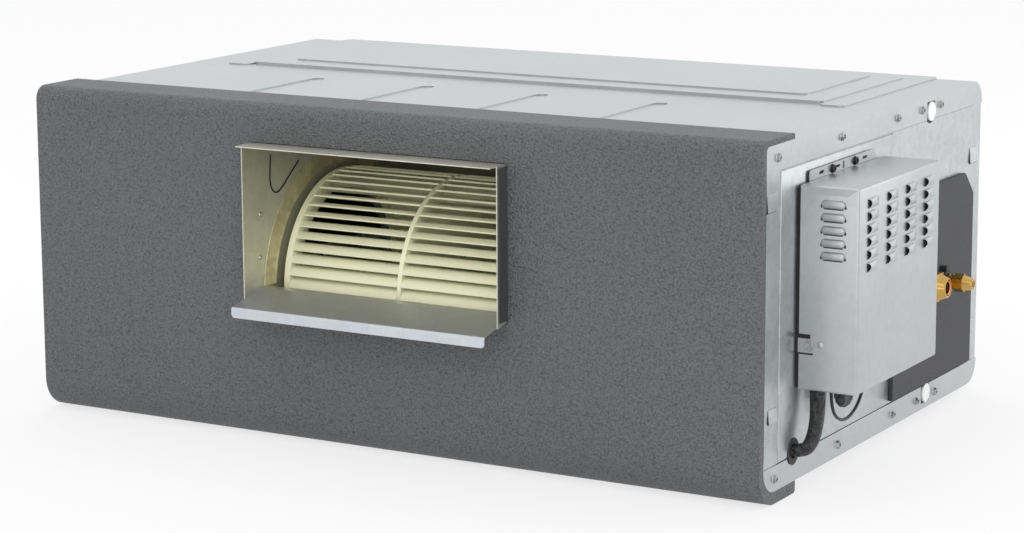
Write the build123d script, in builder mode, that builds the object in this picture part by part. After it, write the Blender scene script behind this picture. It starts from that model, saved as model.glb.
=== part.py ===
# Ducted air conditioner: a sheet metal casing with one double inlet blower, a slanted coil behind it,
# and its pipes, drains and electrical box on the right hand side.
# Millimetres. +X is the service side, -Y the supply side, z = 0 the surface that the unit rests on.
import math
import os

from build123d import *

# Casing
casing_length = 838.0
casing_depth = 545.0
casing_height = 330.0
sheet = 1.0
corner_radius = 25.0
front_top_radius = 6.0
side_flange = 25.0
front_flange = 32.0
inner_flange = 22.0
return_inner_flange = 8.0
seam_from_front = 299.0
seam_gap = 0.5

# Pressed steps of the top cover, each one step higher than the one around it
bead_step = 1.5
outer_bead_margin = 43.0
outer_bead_width = 28.0
outer_bead_front = 274.0
middle_bead_front = 286.0
back_bead_margin = 17.0
inner_bead_margin = 105.0
inner_bead_front = 320.0
inner_bead_back = 54.0
bead_radius = 8.0
groove_width = 15.0
groove_front = 40.0
groove_back = 220.0
groove_pitch = 138.0
groove_count = 4
groove_offset = -5.0

# Foam skin on the supply side, and foam pads
foam_front = 9.0
foam_top = 5.5
foam_under = 12.0
foam_top_reach = 88.0
foam_under_reach = 72.0
foam_top_radius = 14.0
foam_bottom_radius = 34.0
foam_top_edge = 2.0
foam_under_edge = 4.0
foam_inner_depth = 60.0
foam_gap = 0.5
pad_thickness = 5.0
pad_front_gap = 2.0
pad_bottom = 28.0
pad_back = 516.0
pad_top = 236.0
pad_chamfer = 24.0
pad_corner = 4.0
rear_pad_front = 240.0
rear_pad_depth = 260.0
rear_pad_margin = 60.0

# Blower: wheel, scroll and outlet duct
blower_offset = 2.0
wheel_radius = 112.0
wheel_end_gap = 9.0
wheel_from_front = 142.0
wheel_height = 138.0
rim_width = 7.0
disc_thickness = 5.0
blade_count = 54
blade_depth = 15.5
blade_lead = 8.4
blade_thickness = 1.2
wheel_edge = 0.5
hub_radius = 17.0
hub_length = 34.0
shaft_radius = 6.0
shaft_chamfer = 1.0
cutoff_gap = 8.0
tongue_radius = 7.0
duct_width = 294.0
duct_ceiling = 294.5
duct_floor = 145.0
duct_reach = 27.0
ceiling_reach = 38.0
tray_reach = 51.0
tray_drop = 11.2
tray_lip = 10.5
tray_lap = 8.0
tray_fold = 2.0
tray_corner = 4.0
duct_flange = 15.0
ring_throat = 91.0
ring_curve = 9.0
ring_flange = 10.0
ring_reach = 9.0
foot_width = 20.0
foot_inset = 30.0
foot_depth = 70.0

# Shaft support and motor
running_gap = 0.05
bearing_standoff = 30.0
bearing_length = 14.0
bearing_wall = 2.5
cushion_radius = 17.0
strap_width = 44.0
strap_thickness = 2.0
strap_foot = 14.0
strap_bend = 6.0
strap_reach = 118.0
motor_gap = 36.0
motor_radius = 58.0
motor_length = 96.0
motor_round = 12.0
motor_nose_radius = 16.0
motor_nose_length = 14.0
motor_fin_count = 12
motor_fin_depth = 4.0
motor_fin_width = 3.0
mount_circle = 42.0
mount_radius = 9.0
mount_thickness = 7.0
bracket_thickness = 2.5
bracket_width = 130.0
bracket_foot = 90.0
bracket_flange = 14.0
bracket_rise = 56.0
bolt_radius = 3.0
bolt_head_radius = 5.5
bolt_head_length = 4.0

# Coil
coil_left_room = 62.0
coil_right_room = 106.0
coil_from_front = 410.0
coil_tilt = 28.0
tube_radius = 6.35
tube_pitch = 31.75
tube_rows = 2
row_pitch = 27.5
tubes_per_row = 8
end_plate_width = 182.0
end_plate_thickness = 1.5
end_plate_corner = 12.0
tube_stub = 12.0
header_gap = 14.0
gas_header_radius = 11.0
liquid_header_radius = 8.0

# Drain pans, drain outlets and their plugs
pan_left_room = 31.0
pan_right_room = 51.0
pan_width = 200.0
pan_height = 38.0
pan_wall = 7.0
pan_draft = 3.0
drain_from_front = 399.0
drain_height = 16.6
spout_radius = 9.5
spout_bore = 8.0
plug_radius = 10.0
plug_length = 12.0
plug_proud = 1.5
plug_gap = 0.05
plug_hollow = 5.0
plug_round = 0.8
spout_inset = 0.5
notch_half_width = 10.5
notch_height = 28.0

# Refrigerant connections on the service side
pipe_height = 131.0
union_depth = 15.0
nut_shoulder = 0.3
gas_from_front = 395.0
gas_pipe_radius = 7.94
gas_bore = 8.05
gas_union_radius = 12.0
gas_union_flats = 26.0
gas_union_hex_length = 6.0
gas_union_hex_gap = 1.0
gas_thread_radius = 11.0
gas_seal_x = 13.5
gas_nut_back = 5.0
gas_nut_flats = 29.0
gas_hex_length = 11.0
gas_nut_length = 20.0
gas_nut_cone_radius = 10.7
gas_nut_lip_length = 1.5
gas_nut_lip_drop = 0.8
liquid_from_front = 427.0
liquid_pipe_radius = 3.18
liquid_bore = 3.25
liquid_union_radius = 6.0
liquid_union_flats = 15.0
liquid_union_hex_start = 5.0
liquid_union_hex_length = 9.0
liquid_neck_radius = 5.0
liquid_neck_length = 2.0
liquid_collar_radius = 8.6
liquid_collar_length = 2.2
liquid_thread_radius = 5.5
liquid_seal_x = 25.0
liquid_nut_back = 19.5
liquid_nut_flats = 17.0
liquid_hex_length = 10.5
liquid_nut_length = 20.5
liquid_nut_cone_radius = 6.0
liquid_nut_lip_length = 1.0
liquid_nut_lip_drop = 0.5
pipe_hole_gap = 4.0
seal_thickness = 1.0

# Electrical box
box_front = 71.0
box_depth = 196.0
box_bottom = 90.0
box_height = 196.0
box_proud = 63.0
box_standoff = 3.0
box_gap = 0.5
box_rim = 8.0
box_round = 2.5
box_foot_radius = 7.0
lip_front = 90.0
lip_depth = 157.0
lip_height = 10.0
lip_corner = 3.0
lip_slot_width = 3.0
lip_slot_length = 12.0
lip_screw_pitch = 54.0
cable_slot_depth = 30.0
cable_slot_length = 140.0
front_louvre_count = 5
front_louvre_pitch = 12.2
front_louvre_length = 24.6
front_louvre_height = 8.0
front_louvre_proud = 2.6
front_louvre_offset = 37.0
louvre_top = 16.4
side_louvre_rows = 6
side_louvre_columns = 4
side_louvre_row_pitch = 12.1
side_louvre_column_pitch = 46.5
side_louvre_first = 29.0
side_louvre_length = 26.0
side_louvre_height = 9.0
side_louvre_proud = 3.2
latch_height = 133.0
latch_length = 15.0
latch_width = 13.0
latch_reach = 11.5
latch_slot = 4.6
latch_screw_radius = 2.1
latch_screw_length = 5.2
latch_head_radius = 4.2
latch_head_height = 2.4
latch_head_round = 0.8
board_width = 150.0
board_height = 120.0
board_thickness = 1.6
board_standoff = 10.0
board_margin = 18.0
pillar_radius = 3.0
terminal_middle = 0.74
terminal_share = 0.36
terminal_count = 5
terminal_rise = 26.0
terminal_height = 22.0
terminal_proud = 16.0
capacitor_radius = 17.0
capacitor_from = 0.30
capacitor_share = 0.22

# Cables below the electrical box
harness_radius = 7.0
grommet_radius = 13.0
grommet_lip = 2.0
grommet_groove_radius = 11.0
grommet_round = 1.2
grommet_from_front = 66.0
grommet_height = 30.0
wire_radius = 1.6
connector_from_front = 124.0
connector_height = 58.0
connector_standoff = 11.0
connector_size = (15.0, 40.0, 24.0)
connector_round = 5.0
connector_neck = (9.0, 20.0, 10.0)

# Return side
return_margin = 44.0
return_height = 250.0
collar_reach = 20.0
collar_flange = 14.0
flange_hole_radius = 2.5
flange_hole_inset = 7.0
filter_thickness = 10.0
filter_frame = 12.0
filter_gap = 1.0
filter_bar = 3.0
filter_bar_count = 7
mesh_thickness = 1.0

# Screws of the casing
screw_flats = 7.0
screw_head = 3.0
screw_places = (24.0, 171.0, 310.0, 374.0, 424.0)

# Places worked out from the sizes above
right = casing_length / 2
left = -right
back = casing_depth / 2
front = -back
base = foam_under
roof = base + casing_height
floor_inside = base + sheet
middle_height = (base + roof) / 2

wheel_y = front + wheel_from_front
wheel_z = base + wheel_height
axle = Axis((blower_offset, wheel_y, wheel_z), (1, 0, 0))
wall_x = duct_width / 2
wheel_length = duct_width - 2 * wheel_end_gap
ceiling_z = base + duct_ceiling
tray_z = base + duct_floor
tongue_z = tray_z - sheet

# Four centre scroll: each quarter turn is an arc that is larger than the one before by one growth
cutoff_reach = wheel_radius + cutoff_gap
growth = (ceiling_z - wheel_z - cutoff_reach) / 3
offset_centre = growth / 2
first_radius = cutoff_reach + offset_centre
second_radius = first_radius + growth
third_radius = second_radius + growth
cutoff_y = wheel_y - cutoff_reach

coil_y = front + coil_from_front
coil_left = left + coil_left_room
coil_right = right - coil_right_room
coil_length = coil_right - coil_left
tilt = math.radians(coil_tilt)
across_coil = (0, math.cos(tilt), -math.sin(tilt))
up_coil = (0, math.sin(tilt), math.cos(tilt))
seam_y = front + seam_from_front

os.makedirs("parts", exist_ok=True)


def save(piece, label):
    """Names a finished piece and writes it to its own file."""
    piece.part.label = label
    export_step(piece.part, f"parts/{label}.step")


def outline(points, radii):
    """A closed outline with its own radius at each corner, filled, in the sketch being drawn."""
    with BuildLine() as edge:
        FilletPolyline(*points, radius=radii, close=True)
    make_face(edge.edges())


def block(low, high, mode=Mode.ADD):
    """A rectangular block from its lowest to its highest corner, in the part being made."""
    with Locations(low):
        Box(*(end - start for start, end in zip(low, high)), align=Align.MIN, mode=mode)


def side_plane(x, y=0.0, z=0.0):
    """The plane seen from the service side at x, with its own origin at y, z."""
    return Plane(origin=(x, y, z), x_dir=(0, 1, 0), z_dir=(1, 0, 0))


def supply_plane(x, y, z):
    """The plane seen from the supply side at y, with its own origin at x, z."""
    return Plane(origin=(x, y, z), x_dir=(1, 0, 0), z_dir=(0, -1, 0))


def casing_outline(inset):
    """Side view of the casing, inset from its outer faces."""
    outline(
        [
            (front + inset, base + inset),
            (back - inset, base + inset),
            (back - inset, roof - inset),
            (front + inset, roof - inset),
        ],
        [corner_radius - inset] * 3 + [front_top_radius - inset],
    )


def casing_shell(inset, half_length, end_sheet):
    """A sheet shell of the casing's outline, with closed ends of end_sheet or open ends of none."""
    with BuildSketch(side_plane(-half_length)) as outside:
        casing_outline(inset)
    extrude(outside.sketch, amount=2 * half_length)
    with BuildSketch(side_plane(-half_length + end_sheet)) as inside:
        casing_outline(inset + sheet)
    extrude(inside.sketch, amount=2 * (half_length - end_sheet), mode=Mode.SUBTRACT)


def drain_notches(z_low, z_high):
    """Cuts the drain's notch through the right flange of a cover."""
    drain_y = front + drain_from_front
    block(
        (right - sheet, drain_y - notch_half_width, z_low),
        (right, drain_y + notch_half_width, z_high),
        mode=Mode.SUBTRACT,
    )


# Bottom cover: a pan with low side flanges and a taller front flange
with BuildPart() as bottom_cover:
    casing_shell(0, right, sheet)
    split(bisect_by=Plane.XY.offset(base + front_flange), keep=Keep.BOTTOM)
    block((left, front + sheet, base + side_flange), (right, back, base + front_flange), mode=Mode.SUBTRACT)
    drain_notches(base + drain_height - notch_half_width, base + side_flange)
    with BuildSketch(side_plane(right - sheet, front + grommet_from_front, base + grommet_height)):
        Circle(grommet_radius + sheet)
    extrude(amount=sheet, mode=Mode.SUBTRACT)
save(bottom_cover, "bottom_cover")


def top_step(low, high, level, radius):
    """A pressed step of the top cover: raises the sheet by whole steps between two corners."""
    width = high[0] - low[0]
    depth = high[1] - low[1]
    centre = ((low[0] + high[0]) / 2, (low[1] + high[1]) / 2)
    rise = level * bead_step
    with BuildSketch(Plane.XY.offset(roof)) as outside:
        with Locations(centre):
            RectangleRounded(width, depth, radius)
    extrude(outside.sketch, amount=rise)
    with BuildSketch(Plane.XY.offset(roof - sheet)) as inside:
        with Locations(centre):
            RectangleRounded(width - 2 * sheet, depth - 2 * sheet, radius - sheet)
    extrude(inside.sketch, amount=rise, mode=Mode.SUBTRACT)


# Top cover: the same pan turned over, with pressed steps and four grooves that stiffen it
with BuildPart() as top_cover:
    casing_shell(0, right, sheet)
    split(bisect_by=Plane.XY.offset(roof - front_flange), keep=Keep.TOP)
    block((left, front + sheet, roof - front_flange), (right, back, roof - side_flange), mode=Mode.SUBTRACT)
    drain_notches(roof - side_flange, roof - drain_height + notch_half_width)
    back_edge = back - back_bead_margin
    outer_edge = right - outer_bead_margin
    middle_edge = outer_edge - outer_bead_width
    inner_edge = right - inner_bead_margin
    strip_edge = middle_edge - sheet
    for low_x, high_x in ((-outer_edge, -strip_edge), (strip_edge, outer_edge)):
        top_step((low_x, front + outer_bead_front), (high_x, back_edge), 1, bead_radius)
    top_step((-outer_edge, back_edge - outer_bead_width), (outer_edge, back_edge), 1, bead_radius)
    top_step(
        (-middle_edge, front + middle_bead_front),
        (middle_edge, back_edge - outer_bead_width + sheet),
        2,
        bead_radius,
    )
    top_step((-inner_edge, front + inner_bead_front), (inner_edge, back - inner_bead_back), 3, bead_radius)
    groove_length = groove_back - groove_front
    groove_centre = (groove_offset, front + (groove_front + groove_back) / 2)
    with BuildSketch(Plane.XY.offset(roof - sheet)):
        with Locations(groove_centre):
            with GridLocations(groove_pitch, 1, groove_count, 1):
                SlotOverall(groove_length + 2 * sheet, groove_width + 2 * sheet, rotation=90)
    extrude(amount=-bead_step)
    with BuildSketch(Plane.XY.offset(roof)):
        with Locations(groove_centre):
            with GridLocations(groove_pitch, 1, groove_count, 1):
                SlotOverall(groove_length, groove_width, rotation=90)
    extrude(amount=-bead_step, mode=Mode.SUBTRACT)
save(top_cover, "top_cover")

# Side plates, which stand inside the covers' flanges
plate_x = right - 2 * sheet
with BuildPart() as left_side_panel:
    with BuildSketch(side_plane(left + sheet)):
        casing_outline(sheet)
    extrude(amount=sheet)
save(left_side_panel, "left_side_panel")

with BuildPart() as right_front_plate:
    with BuildSketch(side_plane(plate_x)):
        casing_outline(sheet)
        with Locations((front + grommet_from_front, base + grommet_height)):
            Circle(grommet_groove_radius, mode=Mode.SUBTRACT)
    extrude(amount=sheet)
    split(bisect_by=Plane.XZ.offset(-(seam_y - seam_gap)), keep=Keep.TOP)
save(right_front_plate, "right_front_plate")

pipe_places = (
    (gas_from_front, gas_nut_flats / 2 + pipe_hole_gap),
    (liquid_from_front, liquid_nut_flats / 2 + pipe_hole_gap),
)
with BuildPart() as right_service_plate:
    with BuildSketch(side_plane(plate_x)):
        casing_outline(sheet)
        for from_front, radius in pipe_places:
            with Locations((front + from_front, base + pipe_height)):
                Circle(radius, mode=Mode.SUBTRACT)
        with Locations(
            (front + drain_from_front, base + drain_height),
            (front + drain_from_front, roof - drain_height),
        ):
            Circle(notch_half_width, mode=Mode.SUBTRACT)
    extrude(amount=sheet)
    split(bisect_by=Plane.XZ.offset(-seam_y), keep=Keep.BOTTOM)
save(right_service_plate, "right_service_plate")

# Front panel behind the foam skin, and the return frame: inner sheets with flanges under both covers
inner_half_length = right - 2 * sheet
duct_hole_half = wall_x + sheet
with BuildPart() as front_panel:
    casing_shell(sheet, inner_half_length, 0)
    split(bisect_by=Plane.XZ.offset(-(front + inner_flange)), keep=Keep.TOP)
    block(
        (blower_offset - duct_hole_half, front, tongue_z - 3 * sheet),
        (blower_offset + duct_hole_half, front + 2 * sheet, ceiling_z + sheet),
        mode=Mode.SUBTRACT,
    )
save(front_panel, "front_panel")

return_half_length = right - return_margin
return_low = middle_height - return_height / 2
return_high = middle_height + return_height / 2
flange_y = back - sheet + collar_reach
with BuildPart() as return_frame:
    casing_shell(sheet, inner_half_length, 0)
    split(bisect_by=Plane.XZ.offset(-(back - corner_radius - return_inner_flange)), keep=Keep.BOTTOM)
    block(
        (-return_half_length - sheet, back - 2 * sheet, return_low - sheet),
        (return_half_length + sheet, flange_y, return_high + sheet),
    )
    block(
        (-return_half_length - collar_flange, flange_y - sheet, return_low - collar_flange),
        (return_half_length + collar_flange, flange_y, return_high + collar_flange),
    )
    block(
        (-return_half_length, back - 2 * sheet, return_low),
        (return_half_length, flange_y, return_high),
        mode=Mode.SUBTRACT,
    )
    hole_x = 2 * (return_half_length + flange_hole_inset)
    hole_z = 2 * (return_height / 2 + flange_hole_inset)
    with BuildSketch(supply_plane(0, flange_y, middle_height)):
        with GridLocations(hole_x, hole_z, 2, 2):
            Circle(flange_hole_radius)
    extrude(amount=sheet, mode=Mode.SUBTRACT)
save(return_frame, "return_frame")

# Foam skin: one closed cell sheet wrapped round the supply side of the casing
with BuildPart() as front_foam:
    with BuildSketch(side_plane(left)):
        outline(
            [
                (front + foam_top_reach, roof + foam_top),
                (front - foam_front, roof + foam_top),
                (front - foam_front, 0),
                (front + foam_under_reach, 0),
                (front + foam_under_reach, base + foam_inner_depth),
                (front + foam_top_reach, roof - foam_inner_depth),
            ],
            [foam_top_edge, foam_top_radius, foam_bottom_radius, foam_under_edge, 0, 0],
        )
        with BuildSketch(mode=Mode.SUBTRACT):
            casing_outline(0)
        with Locations((front + sheet / 2, middle_height)):
            Rectangle(sheet, casing_height - 2 * front_flange)
    extrude(amount=casing_length)
    block(
        (blower_offset - duct_hole_half - foam_gap, front - foam_front, tongue_z - 4 * sheet),
        (blower_offset + duct_hole_half + foam_gap, front + 2 * sheet, ceiling_z + sheet + foam_gap),
        mode=Mode.SUBTRACT,
    )
save(front_foam, "front_foam")

# Foam pad round the pipes on the service plate, and the foam pad that carries the back of the unit
with BuildPart() as side_foam_pad:
    with BuildSketch(side_plane(right - sheet)):
        outline(
            [
                (seam_y + pad_front_gap, base + pad_bottom),
                (front + pad_back, base + pad_bottom),
                (front + pad_back, base + pad_top - pad_chamfer),
                (front + pad_back - pad_chamfer, base + pad_top),
                (seam_y + pad_front_gap, base + pad_top),
            ],
            [0, 0, pad_corner, pad_corner, 0],
        )
        for from_front, radius in pipe_places:
            with Locations((front + from_front, base + pipe_height)):
                Circle(radius - pipe_hole_gap / 2, mode=Mode.SUBTRACT)
    extrude(amount=pad_thickness)
save(side_foam_pad, "side_foam_pad")

with BuildPart() as rear_foam_pad:
    block(
        (left + rear_pad_margin, front + rear_pad_front, 0),
        (right - rear_pad_margin, front + rear_pad_front + rear_pad_depth, base),
    )
    fillet(rear_foam_pad.edges().filter_by(Axis.Z), radius=foam_top_radius)
save(rear_foam_pad, "rear_foam_pad")


def air_space(outset, mouth_y):
    """Side view of the blower's air space, outset from its inner faces and closed at the mouth."""
    centre_y = wheel_y + offset_centre
    centre_z = wheel_z + offset_centre
    low_centre_z = wheel_z - offset_centre
    roof_centre_y = wheel_y - offset_centre
    tongue_front = cutoff_y - tongue_radius
    tongue_low = tongue_z - tongue_radius
    with BuildLine() as edge:
        Line((mouth_y, ceiling_z + outset), (roof_centre_y, ceiling_z + outset))
        CenterArc((roof_centre_y, centre_z), third_radius + outset, 90, -90)
        CenterArc((centre_y, centre_z), second_radius + outset, 0, -90)
        CenterArc((centre_y, low_centre_z), first_radius + outset, -90, -90)
        Line((cutoff_y - outset, low_centre_z), (cutoff_y - outset, tongue_low))
        CenterArc((tongue_front, tongue_low), tongue_radius - outset, 0, 90)
        Line((tongue_front, tongue_z - outset), (mouth_y, tongue_z - outset))
        Line((mouth_y, tongue_z - outset), (mouth_y, ceiling_z + outset))
    make_face(edge.edges())


# Scroll wrap: one sheet from the lip over the outlet, round the wheel to the tongue under the tray
with BuildPart() as scroll_wrap:
    with BuildSketch(side_plane(blower_offset - wall_x)):
        air_space(sheet, front - ceiling_reach)
        with BuildSketch(mode=Mode.SUBTRACT):
            air_space(0, front - ceiling_reach)
    extrude(amount=duct_width)
    block(
        (blower_offset - wall_x, front - ceiling_reach, tongue_z - 2 * sheet),
        (blower_offset + wall_x, front + 2 * sheet, ceiling_z - sheet),
        mode=Mode.SUBTRACT,
    )
save(scroll_wrap, "scroll_wrap")

axle_section = supply_plane(blower_offset, wheel_y, wheel_z)
tray_slope = tray_drop / tray_reach
wall_front_z = tongue_z - tray_slope * duct_reach
ring_outer = ring_throat + ring_curve + sheet
for side_name, side in (("left", -1), ("right", 1)):
    wall_low = min(side * wall_x, side * (wall_x + sheet)) + blower_offset
    with BuildPart() as scroll_plate:
        with BuildSketch(side_plane(wall_low)):
            air_space(sheet, front - duct_reach)
            outline(
                [
                    (front, tongue_z - sheet),
                    (front - duct_reach, wall_front_z - sheet),
                    (front - duct_reach, ceiling_z),
                    (front + duct_reach, ceiling_z),
                    (front + duct_reach / 2, tongue_z - sheet),
                ],
                [0, 0, 0, 0, 0],
            )
            with Locations((wheel_y, wheel_z)):
                Circle(ring_outer, mode=Mode.SUBTRACT)
        extrude(amount=sheet)
        flange_edge = side * (wall_x + sheet)
        flange_end = side * (wall_x + duct_flange)
        block(
            (blower_offset + min(flange_edge, flange_end), front + 2 * sheet, tray_z),
            (blower_offset + max(flange_edge, flange_end), front + 3 * sheet, ceiling_z),
        )
    save(scroll_plate, f"scroll_plate_{side_name}")

    # Inlet ring: a spun bell mouth that leads the air into the wheel
    with BuildPart() as inlet_ring:
        ring_end = side * (wall_x - ring_reach)
        ring_face = side * (wall_x + 1.5 * sheet)
        throat = ring_throat + sheet / 2
        with BuildSketch(axle_section):
            with BuildLine():
                FilletPolyline(
                    (ring_end, throat),
                    (ring_face, throat),
                    (ring_face, ring_outer + ring_flange),
                    radius=[ring_curve],
                )
            trace(line_width=sheet)
        revolve(axis=axle)
    save(inlet_ring, f"inlet_ring_{side_name}")

# Outlet tray: a riveted floor that slopes down to a folded lip
with BuildPart() as outlet_tray:
    with BuildSketch(side_plane(blower_offset - wall_x)):
        with BuildLine():
            FilletPolyline(
                (front + tray_lap, tongue_z + sheet / 2),
                (front, tongue_z + sheet / 2),
                (front - tray_reach + sheet / 2, tongue_z + sheet / 2 - tray_drop),
                (front - tray_reach + sheet / 2, tongue_z - tray_drop - tray_lip + sheet),
                radius=[tray_fold, tray_fold],
            )
        trace(line_width=sheet)
    extrude(amount=duct_width)
    lip_corners = outlet_tray.edges().filter_by(Axis.Y).sort_by(Axis.Z)[:2]
    fillet(lip_corners, radius=tray_corner)
save(outlet_tray, "outlet_tray")

# Feet that stand the scroll on the bottom cover
with BuildPart() as scroll_feet:
    foot_top = wheel_z - offset_centre - first_radius - sheet
    for side in (-1, 1):
        middle = blower_offset + side * (wall_x - foot_inset)
        block(
            (middle - foot_width / 2, wheel_y - foot_depth / 2, floor_inside),
            (middle + foot_width / 2, wheel_y + foot_depth / 2, foot_top + 4 * sheet),
        )
    with BuildSketch(side_plane(blower_offset - wall_x)):
        air_space(sheet, front - ceiling_reach)
    extrude(amount=duct_width, mode=Mode.SUBTRACT)
save(scroll_feet, "scroll_feet")

# Fan wheel: forward curved blades between two rims and a centre disc that a metal hub clamps to the shaft
blade_inner = wheel_radius - wheel_edge - blade_depth
blade_outer = wheel_radius - wheel_edge
half_wheel = wheel_length / 2
blade_length = half_wheel - rim_width - disc_thickness / 2
with BuildSketch() as blade:
    with BuildLine():
        Polyline(
            (blade_inner, 0),
            (blade_inner + 0.58 * blade_depth, 0.26 * blade_lead),
            (math.sqrt(blade_outer**2 - blade_lead**2), blade_lead),
        )
    trace(line_width=blade_thickness)

with BuildPart() as wheel_blades:
    for blade_start in (rim_width - half_wheel, disc_thickness / 2):
        with BuildSketch(side_plane(blower_offset + blade_start, wheel_y, wheel_z)):
            with PolarLocations(0, blade_count):
                add(blade.sketch)
        extrude(amount=blade_length)
save(wheel_blades, "wheel_blades")

with BuildPart() as wheel_rims:
    for rim_start in (-half_wheel, half_wheel - rim_width):
        with BuildSketch(side_plane(blower_offset + rim_start, wheel_y, wheel_z)):
            Circle(wheel_radius)
            Circle(blade_inner - blade_thickness, mode=Mode.SUBTRACT)
        extrude(amount=rim_width)
save(wheel_rims, "wheel_rims")

with BuildPart() as wheel_disc:
    with BuildSketch(side_plane(blower_offset - disc_thickness / 2, wheel_y, wheel_z)):
        Circle(wheel_radius)
        Circle(hub_radius, mode=Mode.SUBTRACT)
    extrude(amount=disc_thickness)
save(wheel_disc, "wheel_disc")

with BuildPart() as wheel_hub:
    with BuildSketch(side_plane(blower_offset - hub_length / 2, wheel_y, wheel_z)):
        Circle(hub_radius)
        Circle(shaft_radius, mode=Mode.SUBTRACT)
    extrude(amount=hub_length)
    set_screw = supply_plane(blower_offset + hub_length / 3, wheel_y, wheel_z)
    with BuildSketch(set_screw.offset(hub_radius - sheet)):
        RegularPolygon(bolt_head_radius, 6)
    extrude(amount=bolt_head_length + sheet)
save(wheel_hub, "wheel_hub")

# Shaft, from the bearing on the left to the motor on the right
plate_outside = wall_x + sheet
bearing_x = blower_offset - plate_outside - bearing_standoff
motor_x = blower_offset + plate_outside + motor_gap
with BuildPart() as fan_shaft:
    shaft_start = bearing_x - bearing_length / 2
    with BuildSketch(side_plane(shaft_start, wheel_y, wheel_z)):
        Circle(shaft_radius)
    extrude(amount=motor_x + motor_nose_length - shaft_start)
    chamfer(fan_shaft.edges().filter_by(GeomType.CIRCLE), length=shaft_chamfer)
save(fan_shaft, "fan_shaft")


def ring_on_axle(x, length, outer, inner):
    """A plain ring round the fan's axle."""
    with BuildSketch(side_plane(x, wheel_y, wheel_z)) as ring:
        Circle(outer)
        Circle(inner, mode=Mode.SUBTRACT)
    extrude(ring.sketch, amount=length)


bearing_start = bearing_x - bearing_length / 2
bearing_outer = shaft_radius + running_gap + bearing_wall
with BuildPart() as shaft_bearing:
    ring_on_axle(bearing_start, bearing_length, bearing_outer, shaft_radius + running_gap)
save(shaft_bearing, "shaft_bearing")

with BuildPart() as bearing_cushion:
    ring_on_axle(bearing_start, bearing_length, cushion_radius, bearing_outer)
save(bearing_cushion, "bearing_cushion")

# Strap across the left inlet that carries the bearing
with BuildPart() as bearing_strap:
    strap_out = bearing_x
    strap_in = blower_offset - plate_outside - sheet - strap_thickness / 2
    with BuildSketch(Plane.XY.offset(wheel_z - strap_width / 2)):
        with BuildLine():
            FilletPolyline(
                (strap_in, wheel_y - strap_reach),
                (strap_in, wheel_y - strap_reach + strap_foot),
                (strap_out, wheel_y - strap_reach + strap_foot + strap_bend),
                (strap_out, wheel_y + strap_reach - strap_foot - strap_bend),
                (strap_in, wheel_y + strap_reach - strap_foot),
                (strap_in, wheel_y + strap_reach),
                radius=[strap_bend / 2] * 4,
            )
        trace(line_width=strap_thickness)
    extrude(amount=strap_width)
    ring_on_axle(bearing_start, bearing_length, cushion_radius + strap_thickness, shaft_radius)
    with BuildSketch(side_plane(bearing_start, wheel_y, wheel_z)):
        Circle(cushion_radius)
    extrude(amount=bearing_length, mode=Mode.SUBTRACT)
save(bearing_strap, "bearing_strap")

# Motor: a ribbed round body with a nose that the shaft enters
with BuildPart() as fan_motor:
    with BuildSketch(axle_section):
        motor_start = motor_x - blower_offset + motor_nose_length
        outline(
            [
                (motor_start, 0),
                (motor_start, motor_radius),
                (motor_start + motor_length, motor_radius),
                (motor_start + motor_length, 0),
            ],
            [0, motor_round, motor_round, 0],
        )
    revolve(axis=axle)
    with BuildSketch(side_plane(motor_x, wheel_y, wheel_z)):
        Circle(motor_nose_radius)
    extrude(amount=motor_nose_length)
    with BuildSketch(side_plane(motor_x + motor_nose_length + motor_round, wheel_y, wheel_z)):
        with PolarLocations(motor_radius, motor_fin_count):
            Rectangle(motor_fin_depth * 2, motor_fin_width)
        Circle(motor_radius - sheet, mode=Mode.SUBTRACT)
    extrude(amount=motor_length - 2 * motor_round)
    with BuildSketch(side_plane(motor_x, wheel_y, wheel_z)):
        Circle(shaft_radius + running_gap)
    extrude(amount=motor_nose_length + running_gap, mode=Mode.SUBTRACT)
save(fan_motor, "fan_motor")

motor_end = motor_x + motor_nose_length + motor_length
bracket_x = motor_end + mount_thickness
with BuildPart() as motor_mounts:
    with BuildSketch(side_plane(motor_end, wheel_y, wheel_z)):
        with PolarLocations(mount_circle, 4, 45):
            Circle(mount_radius)
            Circle(bolt_radius, mode=Mode.SUBTRACT)
    extrude(amount=mount_thickness)
save(motor_mounts, "motor_mounts")

# Motor bracket: a bent plate that stands on the bottom cover, with stiffening side flanges
with BuildPart() as motor_bracket:
    bracket_half = bracket_width / 2
    with BuildSketch(side_plane(bracket_x, wheel_y, 0)):
        outline(
            [
                (-bracket_half, floor_inside),
                (bracket_half, floor_inside),
                (bracket_half, wheel_z + bracket_rise),
                (-bracket_half, wheel_z + bracket_rise),
            ],
            [0, 0, bracket_flange, bracket_flange],
        )
        with Locations((0, wheel_z)):
            with PolarLocations(mount_circle, 4, 45):
                Circle(bolt_radius, mode=Mode.SUBTRACT)
    extrude(amount=bracket_thickness)
    block(
        (bracket_x - bracket_foot, wheel_y - bracket_half, floor_inside),
        (bracket_x, wheel_y + bracket_half, floor_inside + bracket_thickness),
    )
    for side in (-1, 1):
        edge = wheel_y + side * (bracket_half - bracket_thickness / 2)
        with BuildSketch(Plane.XZ.offset(-edge)):
            with BuildLine():
                Polyline(
                    (bracket_x, floor_inside),
                    (bracket_x - bracket_foot, floor_inside),
                    (bracket_x - bracket_foot, floor_inside + bracket_flange),
                    (bracket_x - bracket_flange, floor_inside + bracket_foot),
                    (bracket_x, floor_inside + bracket_foot),
                    close=True,
                )
            make_face()
        extrude(amount=bracket_thickness / 2, both=True)
save(motor_bracket, "motor_bracket")

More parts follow.
